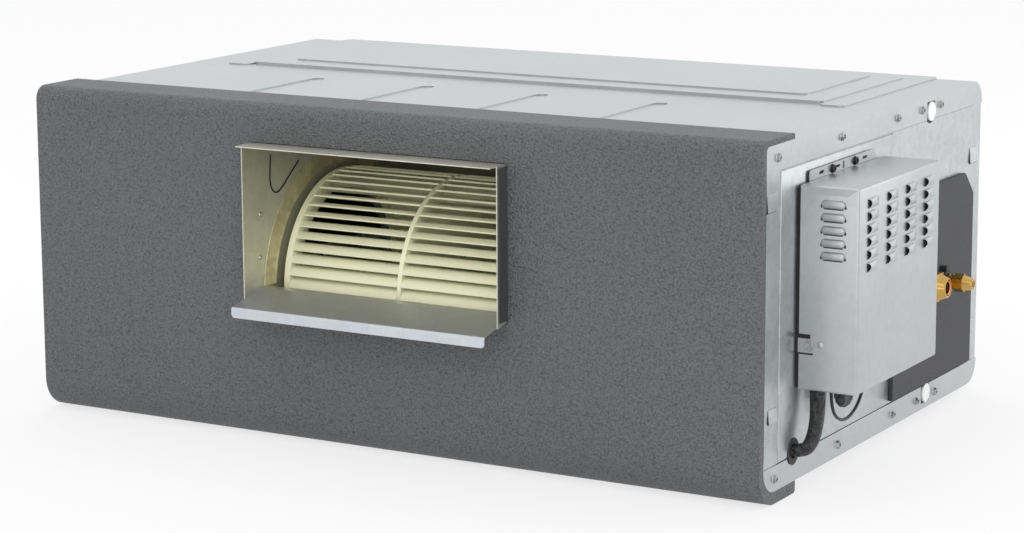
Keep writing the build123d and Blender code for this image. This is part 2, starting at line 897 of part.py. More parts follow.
with BuildPart() as motor_bolts:
    with BuildSketch(side_plane(motor_end, wheel_y, wheel_z)):
        with PolarLocations(mount_circle, 4, 45):
            Circle(bolt_radius)
    extrude(amount=mount_thickness + bracket_thickness)
    with BuildSketch(side_plane(bracket_x + bracket_thickness, wheel_y, wheel_z)):
        with PolarLocations(mount_circle, 4, 45):
            RegularPolygon(bolt_head_radius, 6)
    extrude(amount=bolt_head_length)
save(motor_bolts, "motor_bolts")


def coil_plane(x):
    """The slanted section of the coil at x: first across its depth, then up its height."""
    return Plane(origin=(x, coil_y, middle_height), x_dir=across_coil, z_dir=(1, 0, 0))


# Coil: fins, hairpin tubes through them, and an end plate at each end
coil_height = tubes_per_row * tube_pitch
with BuildPart() as coil_fins:
    with BuildSketch(coil_plane(coil_left)):
        Rectangle(tube_rows * row_pitch, coil_height)
        with GridLocations(row_pitch, tube_pitch, tube_rows, tubes_per_row):
            Circle(tube_radius, mode=Mode.SUBTRACT)
    extrude(amount=coil_length)
save(coil_fins, "coil_fins")

pan_floor_z = floor_inside + pan_wall
with BuildPart() as coil_end_plates:
    for plate_start in (coil_left - end_plate_thickness, coil_right):
        with BuildSketch(side_plane(plate_start)):
            outline(
                [
                    (coil_y - end_plate_width / 2, pan_floor_z),
                    (coil_y + end_plate_width / 2, pan_floor_z),
                    (coil_y + end_plate_width / 2, base + roof - pan_floor_z),
                    (coil_y - end_plate_width / 2, base + roof - pan_floor_z),
                ],
                [end_plate_corner] * 4,
            )
        extrude(amount=end_plate_thickness)
    with BuildSketch(coil_plane(coil_left - end_plate_thickness)):
        with GridLocations(row_pitch, tube_pitch, tube_rows, tubes_per_row):
            Circle(tube_radius)
    extrude(amount=coil_length + 2 * end_plate_thickness, mode=Mode.SUBTRACT)
save(coil_end_plates, "coil_end_plates")

with BuildPart() as coil_tubes:
    bend_x = coil_left - end_plate_thickness - tube_stub
    tube_end = coil_right + end_plate_thickness + tube_stub
    for step in range(tubes_per_row):
        height = (step - (tubes_per_row - 1) / 2) * tube_pitch
        with BuildSketch(coil_plane(bend_x)):
            with Locations((0, height)):
                with GridLocations(row_pitch, 1, 2, 1):
                    Circle(tube_radius)
        extrude(amount=tube_end - bend_x)
        with BuildSketch(coil_plane(bend_x)):
            with Locations((row_pitch / 2, height)):
                Circle(tube_radius)
        bend_centre = Vector(bend_x, coil_y, middle_height) + Vector(*up_coil) * height
        revolve(axis=Axis(bend_centre, Vector(*up_coil)), revolution_arc=180)
save(coil_tubes, "coil_tubes")


def header(radius, stub_side):
    """A header pipe along the coil with a stub to each tube of one row."""
    header_x = tube_end + header_gap
    with BuildSketch(coil_plane(tube_end)) as stubs:
        with Locations((stub_side * row_pitch / 2, 0)):
            with GridLocations(1, tube_pitch, 1, tubes_per_row):
                Circle(tube_radius)
    extrude(stubs.sketch, amount=header_gap)
    along = Vector(*across_coil) * (stub_side * row_pitch / 2)
    low = Vector(header_x, coil_y, middle_height) + along - Vector(*up_coil) * (coil_height / 2)
    with BuildSketch(Plane(origin=low, x_dir=(1, 0, 0), z_dir=up_coil)) as section:
        Circle(radius)
    extrude(section.sketch, amount=coil_height)


def line_start(stub_side):
    """Where a header's axis passes the height of the pipe connections."""
    along = Vector(*across_coil) * (stub_side * row_pitch / 2)
    foot = Vector(tube_end + header_gap, coil_y, middle_height) + along
    climb = (base + pipe_height - foot.Z) / math.cos(tilt)
    return foot + Vector(*up_coil) * climb


def pipe(start, end_y, end_x, radius, bend):
    """A pipe from a header out to a connection at the same height."""
    run = (end_x - start.X) / 3
    with BuildLine() as route:
        FilletPolyline(
            start,
            start + Vector(run, 0, 0),
            (end_x - run, end_y, start.Z),
            (end_x, end_y, start.Z),
            radius=[bend, bend],
        )
    with BuildSketch(Plane(origin=start, x_dir=(0, 1, 0), z_dir=(1, 0, 0))) as section:
        Circle(radius)
    sweep(section.sketch, path=route.line)


gas_y = front + gas_from_front
liquid_y = front + liquid_from_front
pipe_z = base + pipe_height
union_start = right - union_depth
for name, radius, pipe_radius, end_y, stub_side in (
    ("gas", gas_header_radius, gas_pipe_radius, gas_y, -1),
    ("liquid", liquid_header_radius, liquid_pipe_radius, liquid_y, 1),
):
    with BuildPart() as header_pipe:
        header(radius, stub_side)
    save(header_pipe, f"{name}_header")

    with BuildPart() as line:
        pipe(line_start(stub_side), end_y, union_start, pipe_radius, 2 * pipe_radius)
        add(header_pipe.part, mode=Mode.SUBTRACT)
    save(line, f"{name}_line")


def turned(section_plane, profile):
    """Revolves a half section, given as distances along a pipe's axis and radii, about that axis."""
    with BuildSketch(section_plane) as section:
        with BuildLine():
            Polyline(*profile, close=True)
        make_face()
    revolve(section.sketch, axis=Axis(section_plane.origin, (1, 0, 0)))


def pipe_section(y):
    """The plane of a pipe's half section, with its origin where its axis meets the casing's side."""
    return supply_plane(right, y, pipe_z)


def hexagon(x, y, length, flats, rotation=0.0):
    """A hexagonal prism on a pipe's axis."""
    with BuildSketch(side_plane(right + x, y, pipe_z)) as section:
        RegularPolygon(flats / 2, 6, major_radius=False, rotation=rotation)
    extrude(section.sketch, amount=length)


def bored(x, y, length, radius):
    """Bores a hole along a pipe's axis."""
    with BuildSketch(side_plane(right + x, y, pipe_z)) as section:
        Circle(radius)
    extrude(section.sketch, amount=length, mode=Mode.SUBTRACT)


# Gas connection: union and flare nut
with BuildPart() as gas_union:
    turned(
        pipe_section(gas_y),
        [
            (-union_depth, 0),
            (-union_depth, gas_union_radius),
            (gas_nut_back, gas_union_radius),
            (gas_nut_back, gas_thread_radius),
            (gas_seal_x, gas_thread_radius),
            (gas_seal_x, 0),
        ],
    )
    gas_union_hex_start = gas_nut_back - gas_union_hex_gap - gas_union_hex_length
    hexagon(gas_union_hex_start, gas_y, gas_union_hex_length, gas_union_flats, 30.0)
save(gas_union, "gas_union")

with BuildPart() as gas_flare_nut:
    hexagon(gas_nut_back, gas_y, gas_hex_length, gas_nut_flats)
    turned(
        pipe_section(gas_y),
        [
            (gas_nut_back + gas_hex_length, 0),
            (gas_nut_back + gas_hex_length, gas_nut_flats / 2 - nut_shoulder),
            (gas_nut_back + gas_nut_length - gas_nut_lip_length, gas_nut_cone_radius),
            (gas_nut_back + gas_nut_length, gas_nut_cone_radius - gas_nut_lip_drop),
            (gas_nut_back + gas_nut_length, 0),
        ],
    )
    bored(gas_nut_back, gas_y, gas_seal_x + seal_thickness - gas_nut_back, gas_thread_radius)
    bored(gas_nut_back, gas_y, gas_nut_length, gas_bore)
save(gas_flare_nut, "gas_flare_nut")

# Liquid connection: the same pieces in the small size, with a collar on the union
liquid_neck_start = liquid_union_hex_start + liquid_union_hex_length
liquid_collar_start = liquid_neck_start + liquid_neck_length
liquid_collar_end = liquid_collar_start + liquid_collar_length
with BuildPart() as liquid_union:
    turned(
        pipe_section(liquid_y),
        [
            (-union_depth, 0),
            (-union_depth, liquid_union_radius),
            (liquid_neck_start, liquid_union_radius),
            (liquid_neck_start, liquid_neck_radius),
            (liquid_collar_start, liquid_neck_radius),
            (liquid_collar_start, liquid_collar_radius),
            (liquid_collar_end, liquid_collar_radius),
            (liquid_collar_end, liquid_thread_radius),
            (liquid_seal_x, liquid_thread_radius),
            (liquid_seal_x, 0),
        ],
    )
    hexagon(liquid_union_hex_start, liquid_y, liquid_union_hex_length, liquid_union_flats, 30.0)
save(liquid_union, "liquid_union")

with BuildPart() as liquid_flare_nut:
    hexagon(liquid_nut_back, liquid_y, liquid_hex_length, liquid_nut_flats, 30.0)
    turned(
        pipe_section(liquid_y),
        [
            (liquid_nut_back + liquid_hex_length, 0),
            (liquid_nut_back + liquid_hex_length, liquid_nut_flats / 2 - nut_shoulder),
            (liquid_nut_back + liquid_nut_length - liquid_nut_lip_length, liquid_nut_cone_radius),
            (liquid_nut_back + liquid_nut_length, liquid_nut_cone_radius - liquid_nut_lip_drop),
            (liquid_nut_back + liquid_nut_length, 0),
        ],
    )
    bored(liquid_nut_back, liquid_y, liquid_seal_x + seal_thickness - liquid_nut_back, liquid_thread_radius)
    bored(liquid_nut_back, liquid_y, liquid_nut_length, liquid_bore)
save(liquid_flare_nut, "liquid_flare_nut")

# Copper discs that close both connections for transport
with BuildPart() as pipe_seals:
    for seal_x, seal_y, radius in (
        (gas_seal_x, gas_y, gas_thread_radius),
        (liquid_seal_x, liquid_y, liquid_thread_radius),
    ):
        with BuildSketch(side_plane(right + seal_x, seal_y, pipe_z)):
            Circle(radius)
        extrude(amount=seal_thickness)
save(pipe_seals, "pipe_seals")

# Drain pans: one below the coil and the same one above it, so that the unit can hang either way up
with BuildPart() as lower_drain_pan:
    pan_low = (left + pan_left_room, coil_y - pan_width / 2, floor_inside)
    pan_high = (right - pan_right_room, coil_y + pan_width / 2, floor_inside + pan_height)
    block(pan_low, pan_high)
    fillet(lower_drain_pan.edges().filter_by(Axis.Z), radius=2 * pan_wall)
    with BuildSketch(Plane.XY.offset(floor_inside + pan_height)):
        with Locations(((pan_low[0] + pan_high[0]) / 2, coil_y)):
            RectangleRounded(pan_high[0] - pan_low[0] - 2 * pan_wall, pan_width - 2 * pan_wall, pan_wall)
    extrude(amount=-(pan_height - pan_wall), taper=pan_draft, mode=Mode.SUBTRACT)
    spout_start = pan_high[0] - pan_wall / 2
    drain_y = front + drain_from_front
    with BuildSketch(side_plane(spout_start, drain_y, base + drain_height)):
        Circle(spout_radius)
    extrude(amount=right - spout_inset - spout_start)
    with BuildSketch(side_plane(pan_high[0] - 2 * pan_wall, drain_y, base + drain_height)):
        Circle(spout_bore)
    extrude(amount=right - pan_high[0] + 2 * pan_wall, mode=Mode.SUBTRACT)
save(lower_drain_pan, "lower_drain_pan")

upside_down = Plane.XY.offset(middle_height)
with BuildPart() as upper_drain_pan:
    mirror(lower_drain_pan.part, about=upside_down)
save(upper_drain_pan, "upper_drain_pan")

with BuildPart() as lower_drain_plug:
    with BuildSketch(side_plane(right - spout_inset, drain_y, base + drain_height)):
        Circle(plug_radius)
    extrude(amount=plug_proud + spout_inset)
    fillet(lower_drain_plug.edges().sort_by(Axis.X)[-1], radius=plug_round)
    with BuildSketch(side_plane(right - spout_inset - plug_length, drain_y, base + drain_height)):
        Circle(spout_bore - plug_gap)
        Circle(plug_hollow, mode=Mode.SUBTRACT)
    extrude(amount=plug_length)
save(lower_drain_plug, "lower_drain_plug")

with BuildPart() as upper_drain_plug:
    mirror(lower_drain_plug.part, about=upside_down)
save(upper_drain_plug, "upper_drain_plug")

# Electrical box: a back tray on stand-offs, and a louvred cover that slides off it sideways
box_y = front + box_front
box_z = base + box_bottom
box_back_x = right + box_standoff - sheet
box_outer_x = right + box_proud
inset = sheet + box_gap
lip_middle = front + lip_front + lip_depth / 2
lip_slot_z = box_z + box_height + lip_height / 2
tab_z = base + latch_height
with BuildPart() as box_back_plate:
    block(
        (box_back_x, box_y + inset, box_z + inset),
        (box_back_x + box_rim, box_y + box_depth - inset, box_z + box_height - inset),
    )
    block(
        (box_back_x + sheet, box_y + inset + sheet, box_z),
        (box_back_x + box_rim, box_y + box_depth - inset - sheet, box_z + box_height - inset - sheet),
        mode=Mode.SUBTRACT,
    )
    block(
        (box_back_x, front + lip_front, box_z + box_height - inset),
        (box_back_x + sheet, front + lip_front + lip_depth, box_z + box_height + lip_height),
    )
    lip_edges = box_back_plate.edges().filter_by(Axis.X).group_by(Axis.Z)[-1]
    fillet(lip_edges, radius=lip_corner)
    with BuildSketch(side_plane(box_back_x, lip_middle, lip_slot_z)):
        with GridLocations(lip_depth * 0.66, 1, 2, 1):
            SlotOverall(lip_slot_length, lip_slot_width)
    extrude(amount=sheet, mode=Mode.SUBTRACT)
    with BuildSketch(side_plane(right - sheet, box_y + box_depth / 2, box_z + box_height / 2)):
        with GridLocations(box_depth * 0.7, box_height * 0.6, 2, 2):
            Circle(box_foot_radius)
    extrude(amount=box_standoff)
    block(
        (box_back_x, box_y - sheet, tab_z - latch_width / 2),
        (box_back_x + sheet, box_y + inset, tab_z + latch_width / 2),
    )
    block(
        (box_back_x, box_y - 2 * sheet, tab_z - latch_width / 2),
        (box_back_x + latch_length, box_y - sheet, tab_z + latch_width / 2),
    )
    block(
        (box_back_x + latch_reach, box_y - 2 * sheet, tab_z - latch_slot / 2),
        (box_back_x + latch_length, box_y - sheet, tab_z + latch_slot / 2),
        mode=Mode.SUBTRACT,
    )
    with BuildSketch(supply_plane(box_back_x + latch_reach, box_y, tab_z)):
        Circle(latch_slot / 2)
    extrude(amount=2 * sheet, mode=Mode.SUBTRACT)
save(box_back_plate, "box_back_plate")

cover_back_x = box_back_x + 1.5 * sheet
with BuildPart() as box_cover:
    block((cover_back_x, box_y, box_z), (box_outer_x, box_y + box_depth, box_z + box_height))
    upright = box_cover.edges().filter_by(Axis.Z).group_by(Axis.X)[-1]
    across = box_cover.edges().filter_by(Axis.Y).group_by(Axis.X)[-1]
    fillet(upright + across, radius=box_round)
    block(
        (cover_back_x, box_y + sheet, box_z + sheet),
        (box_outer_x - sheet, box_y + box_depth - sheet, box_z + box_height - sheet),
        mode=Mode.SUBTRACT,
    )
    block(
        (cover_back_x, box_y + 4 * sheet, box_z),
        (cover_back_x + cable_slot_depth, box_y + cable_slot_length, box_z + sheet),
        mode=Mode.SUBTRACT,
    )
    # Round ended louvres of the front wall
    louvre_z = box_z + box_height - louvre_top - (front_louvre_count - 1) * front_louvre_pitch / 2
    louvre_place = supply_plane(right + front_louvre_offset, box_y, louvre_z)
    with BuildSketch(louvre_place):
        with GridLocations(1, front_louvre_pitch, 1, front_louvre_count):
            SlotOverall(front_louvre_length, front_louvre_height)
    extrude(amount=front_louvre_proud, taper=20)
    with BuildSketch(louvre_place.offset(-sheet)):
        with GridLocations(1, front_louvre_pitch, 1, front_louvre_count):
            SlotOverall(front_louvre_length - 2 * sheet, front_louvre_height - 2 * sheet)
    extrude(amount=front_louvre_proud, taper=20, mode=Mode.SUBTRACT)
    with BuildSketch(louvre_place):
        with Locations((0, -front_louvre_height / 2)):
            with GridLocations(1, front_louvre_pitch, 1, front_louvre_count):
                Rectangle(front_louvre_length - front_louvre_height, front_louvre_height / 2)
    extrude(amount=front_louvre_proud, mode=Mode.SUBTRACT)
    # Hooded louvres of the outer wall, open towards the supply side
    for column in range(side_louvre_columns):
        hood_y = box_y + side_louvre_first + column * side_louvre_column_pitch
        for row in range(side_louvre_rows):
            hood_z = box_z + box_height - louvre_top - row * side_louvre_row_pitch
            hood_plane = Plane.XY.offset(hood_z - side_louvre_height / 2)
            with BuildSketch(hood_plane):
                with BuildLine():
                    Polyline(
                        (box_outer_x - sheet, hood_y - side_louvre_length / 2),
                        (box_outer_x + side_louvre_proud, hood_y - side_louvre_length / 2),
                        (box_outer_x, hood_y + side_louvre_length / 2),
                        (box_outer_x - sheet, hood_y + side_louvre_length / 2),
                        close=True,
                    )
                make_face()
            extrude(amount=side_louvre_height)
            with BuildSketch(hood_plane.offset(sheet)):
                with BuildLine():
                    Polyline(
                        (box_outer_x - sheet, hood_y - side_louvre_length / 2),
                        (box_outer_x + side_louvre_proud - sheet, hood_y - side_louvre_length / 2),
                        (box_outer_x - sheet, hood_y + side_louvre_length / 2),
                        close=True,
                    )
                make_face()
            extrude(amount=side_louvre_height - 2 * sheet, mode=Mode.SUBTRACT)
    with BuildSketch(supply_plane(box_back_x + latch_reach, box_y + sheet, tab_z)):
        Circle(latch_screw_radius)
    extrude(amount=sheet, mode=Mode.SUBTRACT)
save(box_cover, "box_cover")

with BuildPart() as box_screws:
    with BuildSketch(side_plane(box_back_x + sheet, lip_middle, box_z + box_height + lip_height / 2)):
        with GridLocations(lip_screw_pitch, 1, 2, 1):
            RegularPolygon(screw_flats / 2, 6, major_radius=False)
    extrude(amount=screw_head)
save(box_screws, "box_screws")

with BuildPart() as latch_screw:
    screw_plane = supply_plane(box_back_x + latch_reach, box_y + 3 * sheet, tab_z)
    with BuildSketch(screw_plane):
        Circle(latch_screw_radius)
    extrude(amount=latch_screw_length)
    with BuildSketch(screw_plane.offset(latch_screw_length)):
        Circle(latch_head_radius)
    extrude(amount=latch_head_height)
    fillet(latch_screw.edges().sort_by(Axis.Y)[0], radius=latch_head_round)
save(latch_screw, "latch_screw")

# What the electrical box holds: a control board on pillars, a terminal block and the fan's capacitor
tray_face = box_back_x + sheet
board_x = tray_face + board_standoff
board_y = box_y + box_depth / 2
board_z = box_z + box_height - board_height / 2 - board_margin
with BuildPart() as control_board:
    block(
        (board_x, board_y - board_width / 2, board_z - board_height / 2),
        (board_x + board_thickness, board_y + board_width / 2, board_z + board_height / 2),
    )
    # Each component as its place and size in shares of the board, and how far it stands out
    for across, up, depth, height, proud in (
        (-0.30, 0.28, 0.18, 0.26, 18.0),
        (-0.06, 0.30, 0.13, 0.17, 12.0),
        (0.17, 0.26, 0.20, 0.20, 22.0),
        (0.33, -0.12, 0.15, 0.34, 10.0),
        (0.0, -0.05, 0.22, 0.15, 6.0),
    ):
        with BuildSketch(side_plane(board_x + board_thickness, board_y, board_z)):
            with Locations((across * board_width, up * board_height)):
                Rectangle(depth * board_width, height * board_height)
        extrude(amount=proud)
    with BuildSketch(side_plane(tray_face, board_y, board_z)):
        with GridLocations(board_width - 4 * pillar_radius, board_height - 4 * pillar_radius, 2, 2):
            Circle(pillar_radius)
    extrude(amount=board_standoff)
save(control_board, "control_board")

with BuildPart() as terminal_block:
    terminal_length = terminal_share * box_depth
    terminal_place = side_plane(tray_face, box_y + terminal_middle * box_depth, box_z + terminal_rise)
    with BuildSketch(terminal_place):
        Rectangle(terminal_length, terminal_height)
    extrude(amount=terminal_proud)
    with BuildSketch(terminal_place.offset(terminal_proud)):
        with GridLocations(terminal_length / terminal_count, 1, terminal_count, 1):
            Rectangle(0.7 * terminal_length / terminal_count, 0.64 * terminal_height)
    extrude(amount=-0.4 * terminal_proud, mode=Mode.SUBTRACT)
save(terminal_block, "terminal_block")

with BuildPart() as fan_capacitor:
    capacitor_start = box_y + capacitor_from * box_depth
    capacitor_length = capacitor_share * box_depth
    capacitor_z = box_z + terminal_rise
    capacitor_x = tray_face + capacitor_radius + sheet
    with BuildSketch(supply_plane(capacitor_x, capacitor_start, capacitor_z)):
        Circle(capacitor_radius)
    extrude(amount=-capacitor_length)
    fillet(fan_capacitor.edges().filter_by(GeomType.CIRCLE), radius=2 * sheet)
    block(
        (tray_face, capacitor_start + 0.4 * capacitor_length, capacitor_z - 0.6 * capacitor_radius),
        (capacitor_x, capacitor_start + 0.6 * capacitor_length, capacitor_z + 0.6 * capacitor_radius),
    )
save(fan_capacitor, "fan_capacitor")

# Cable harness from the box through a grommet into the casing, and the loose wire loop with its plug
grommet_y = front + grommet_from_front
grommet_z = base + grommet_height
with BuildPart() as cable_grommet:
    with BuildSketch(supply_plane(right - 1.5 * sheet, grommet_y, grommet_z)):
        outline(
            [
                (-sheet / 2 - grommet_lip, harness_radius),
                (sheet / 2 + grommet_lip, harness_radius),
                (sheet / 2 + grommet_lip, grommet_radius),
                (sheet / 2, grommet_radius),
                (sheet / 2, grommet_groove_radius),
                (-sheet / 2, grommet_groove_radius),
                (-sheet / 2, grommet_radius),
                (-sheet / 2 - grommet_lip, grommet_radius),
            ],
            [0, 0, grommet_round, 0, 0, 0, 0, grommet_round],
        )
    revolve(axis=Axis((0, grommet_y, grommet_z), (1, 0, 0)))
save(cable_grommet, "cable_grommet")


def arc_radii(points):
    """The largest arc that the shorter run beside each inner point of a route allows."""
    radii = []
    for before, here, after in zip(points, points[1:], points[2:]):
        into = Vector(*here) - Vector(*before)
        out = Vector(*after) - Vector(*here)
        half_turn = math.radians(into.get_angle(out)) / 2
        radii.append(0.45 * min(into.length, out.length) / math.tan(half_turn))
    return radii


def cable(name, points, radius):
    """A cable's tube along straight runs joined by arcs; prints its length and its tightest arc."""
    radii = arc_radii(points)
    with BuildPart() as tube:
        with BuildLine() as route:
            FilletPolyline(*points, radius=radii)
        start = Vector(*points[0])
        direction = Vector(*points[1]) - start
        with BuildSketch(Plane(origin=start, z_dir=direction)):
            Circle(radius)
        sweep(path=route.line)
    length = route.wire().length
    section = math.pi * radius**2
    print(f"{name}: length {length:.1f}, radii {[round(r, 1) for r in radii]}")
    print(f"{name}: volume {tube.part.volume:.0f}, section times length {section * length:.0f}")
    save(tube, name)


harness_route = [
    (right + 15.0, front + 88.0, base + 104.0),
    (right + 15.0, front + 88.5, base + 78.0),
    (right + 15.5, front + 86.0, base + 56.0),
    (right + 15.0, front + 77.0, base + 38.0),
    (right + 10.5, front + 66.0, base + 30.0),
    (right - 16.0, front + 66.0, base + 30.0),
]
cable("harness", harness_route, harness_radius)

wire_route = [
    (right + 16.0, front + 117.0, base + 96.0),
    (right + 16.0, front + 117.0, base + 76.0),
    (right + 16.0, front + 122.0, base + 58.0),
    (right + 16.0, front + 136.0, base + 47.0),
    (right + 16.0, front + 156.0, base + 43.0),
    (right + 16.0, front + 178.0, base + 49.0),
    (right + 16.0, front + 193.0, base + 62.0),
    (right + 16.0, front + 199.0, base + 78.0),
    (right + 16.0, front + 199.0, base + 96.0),
]
cable("wire_loop", wire_route, wire_radius)

# Connector that hangs under the box: a rounded housing with a narrower neck above it
with BuildPart() as cable_plug:
    housing_width, housing_depth, housing_height = connector_size
    with Locations((right + connector_standoff, front + connector_from_front, base + connector_height)):
        Box(housing_width, housing_depth, housing_height, align=Align.MIN)
    fillet(cable_plug.edges().filter_by(Axis.X), radius=connector_round)
    neck_place = (
        right + connector_standoff + housing_width / 2,
        front + connector_from_front + housing_depth / 2,
        base + connector_height + housing_height,
    )
    with Locations(neck_place):
        Box(*connector_neck, align=(Align.CENTER, Align.CENTER, Align.MIN))
save(cable_plug, "cable_plug")

# Return filter: a frame with bars and a mesh, pushed into the return opening from behind
with BuildPart() as filter_frame_piece:
    filter_half = return_half_length - filter_gap
    filter_low = return_low + filter_gap
    filter_high = return_high - filter_gap
    filter_y = back - 2 * sheet
    block((-filter_half, filter_y, filter_low), (filter_half, filter_y + filter_thickness, filter_high))
    block(
        (-filter_half + filter_frame, filter_y, filter_low + filter_frame),
        (filter_half - filter_frame, filter_y + filter_thickness, filter_high - filter_frame),
        mode=Mode.SUBTRACT,
    )
    bar_pitch = 2 * (filter_half - filter_frame) / (filter_bar_count + 1)
    for step in range(filter_bar_count):
        bar_x = -filter_half + filter_frame + (step + 1) * bar_pitch
        block(
            (bar_x - filter_bar / 2, filter_y + filter_thickness / 2, filter_low),
            (bar_x + filter_bar / 2, filter_y + filter_thickness, filter_high),
        )
save(filter_frame_piece, "filter_frame")

with BuildPart() as filter_mesh:
    mesh_back = filter_y + filter_thickness / 2
    block(
        (-filter_half + filter_frame, mesh_back - mesh_thickness, filter_low + filter_frame),
        (filter_half - filter_frame, mesh_back, filter_high - filter_frame),
    )
save(filter_mesh, "filter_mesh")

# Screws that hold the covers to the side plates
with BuildPart() as casing_screws:
    screw_rows = (base + side_flange / 2, roof - side_flange / 2)
    for x, direction in ((right, 1), (left, -1)):
        for z in screw_rows:
            with BuildSketch(side_plane(x)):
                with Locations(*[(front + place, z) for place in screw_places]):
                    RegularPolygon(screw_flats / 2, 6, major_radius=False)
            extrude(amount=direction * screw_head)
save(casing_screws, "casing_screws")
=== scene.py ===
import math

import bmesh
import bpy
from mathutils import Matrix, Quaternion, Vector


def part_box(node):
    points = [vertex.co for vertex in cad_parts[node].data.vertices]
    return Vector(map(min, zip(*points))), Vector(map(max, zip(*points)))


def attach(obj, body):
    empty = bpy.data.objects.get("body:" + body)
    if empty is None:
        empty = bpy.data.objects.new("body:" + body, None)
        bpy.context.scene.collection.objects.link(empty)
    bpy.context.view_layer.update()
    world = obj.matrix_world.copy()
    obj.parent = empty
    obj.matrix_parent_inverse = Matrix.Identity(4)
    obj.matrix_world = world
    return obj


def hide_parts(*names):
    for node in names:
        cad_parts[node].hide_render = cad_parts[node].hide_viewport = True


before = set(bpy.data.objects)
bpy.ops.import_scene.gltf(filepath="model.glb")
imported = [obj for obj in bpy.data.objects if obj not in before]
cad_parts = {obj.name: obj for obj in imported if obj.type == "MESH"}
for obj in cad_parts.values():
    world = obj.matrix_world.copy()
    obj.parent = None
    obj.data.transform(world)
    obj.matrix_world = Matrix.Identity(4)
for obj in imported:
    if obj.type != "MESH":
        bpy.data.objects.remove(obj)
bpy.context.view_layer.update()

scene = bpy.context.scene
left, front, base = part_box("bottom_cover")[0]
right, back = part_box("bottom_cover")[1][:2]
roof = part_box("left_side_panel")[1][2] + 0.001


# Top and bottom covers: pans pressed from galvanised steel sheet, one turned over on the other. Their side
# flanges lap over the side plates, and stepped panels are pressed into the top one so that it doesn't drum.
def new_group(name, values, results):
    """A shader node group with named inputs and outputs; a tuple as an input's default makes it a colour."""
    group = bpy.data.node_groups.new(name, "ShaderNodeTree")
    for label, default in values.items():
        kind = "NodeSocketColor" if isinstance(default, tuple) else "NodeSocketFloat"
        group.interface.new_socket(label, in_out="INPUT", socket_type=kind).default_value = default
    for label, kind in results.items():
        group.interface.new_socket(label, in_out="OUTPUT", socket_type=f"NodeSocket{kind}")
    return group, group.nodes.new("NodeGroupInput").outputs, group.nodes.new("NodeGroupOutput").inputs


def feed(tree, socket, value):
    """Sets a socket to a value, or links it where an output is given."""
    if isinstance(value, bpy.types.NodeSocket):
        tree.links.new(value, socket)
    else:
        socket.default_value = value


def add_node(tree, kind, **inputs):
    """The outputs of a new node of one kind, with its named inputs set or linked."""
    node = tree.nodes.new(f"ShaderNode{kind}")
    for label, value in inputs.items():
        feed(tree, node.inputs[label.replace("_", " ")], value)
    return node.outputs


def add_math(tree, operation, first, second=0.5, clamp=False):
    """The output of a Math node on two numbers or outputs."""
    node = tree.nodes.new("ShaderNodeMath")
    node.operation = operation
    node.use_clamp = clamp
    feed(tree, node.inputs[0], first)
    feed(tree, node.inputs[1], second)
    return node.outputs[0]


def add_mix(tree, factor, first, second, blend="MIX"):
    """The colour output of a Mix node between two colours or outputs."""
    node = tree.nodes.new("ShaderNodeMix")
    node.data_type = "RGBA"
    node.blend_type = blend
    for index, value in ((0, factor), (6, first), (7, second)):
        feed(tree, node.inputs[index], value)
    return node.outputs[2]


def shaded(tree, colour, level):
    """A colour made lighter or darker by a level around 1."""
    grey = add_node(tree, "CombineColor", Red=level, Green=level, Blue=level)[0]
    return add_mix(tree, 1.0, colour, grey, blend="MULTIPLY")


def object_place(tree):
    """Object coordinates, in metres in the part's own frame."""
    return tree.nodes.new("ShaderNodeTexCoord").outputs["Object"]


spangle, given, result = new_group(
    "zinc_spangle",
    {"Tint": (0.7, 0.72, 0.74, 1.0), "Cells": 120.0, "Contrast": 0.2, "Smudge": 0.3, "Waves": 0.3, "Gloss": 0.32},
    {"Color": "Color", "Roughness": "Float", "Normal": "Vector"},
)
place = object_place(spangle)
warp = add_node(spangle, "TexNoise", Vector=place, Scale=90.0, Detail=3.0)["Color"]
warped = spangle.nodes.new("ShaderNodeVectorMath")
warped.operation = "MULTIPLY_ADD"
feed(spangle, warped.inputs[0], warp)
feed(spangle, warped.inputs[1], (0.006, 0.006, 0.006))
feed(spangle, warped.inputs[2], place)
crystals = add_node(spangle, "TexVoronoi", Vector=warped.outputs[0], Scale=given["Cells"])["Color"]
flecks = add_node(
    spangle, "TexVoronoi", Vector=warped.outputs[0], Scale=add_math(spangle, "MULTIPLY", given["Cells"], 3.1)
)["Color"]
crystal_shade = add_node(spangle, "SeparateColor", Color=crystals)[0]
fleck_shade = add_math(spangle, "MULTIPLY", add_node(spangle, "SeparateColor", Color=flecks)[1], 0.45)
swing = add_math(spangle, "SUBTRACT", add_math(spangle, "ADD", crystal_shade, fleck_shade), 0.72)
cloud = add_node(spangle, "TexNoise", Vector=place, Scale=5.0, Detail=5.0, Roughness=0.6)["Fac"]
smear = add_math(spangle, "MULTIPLY", add_math(spangle, "SUBTRACT", cloud, 0.5), given["Smudge"])
level = add_math(spangle, "MULTIPLY_ADD", swing, given["Contrast"])
spangle.nodes[-1].inputs[2].default_value = 1.0
level = add_math(spangle, "ADD", level, smear)
feed(spangle, result["Color"], shaded(spangle, given["Tint"], level))
gloss_swing = add_math(spangle, "MULTIPLY", add_math(spangle, "MULTIPLY", swing, given["Contrast"]), 0.4)
gloss_smear = add_math(spangle, "MULTIPLY", smear, 0.25)
gloss = add_math(spangle, "ADD", given["Gloss"], add_math(spangle, "ADD", gloss_swing, gloss_smear), clamp=True)
feed(spangle, result["Roughness"], gloss)
wave = add_node(spangle, "TexNoise", Vector=place, Scale=7.0, Detail=1.0)["Fac"]
bump = add_node(spangle, "Bump", Height=wave, Strength=given["Waves"], Distance=0.004)
feed(spangle, result["Normal"], bump["Normal"])


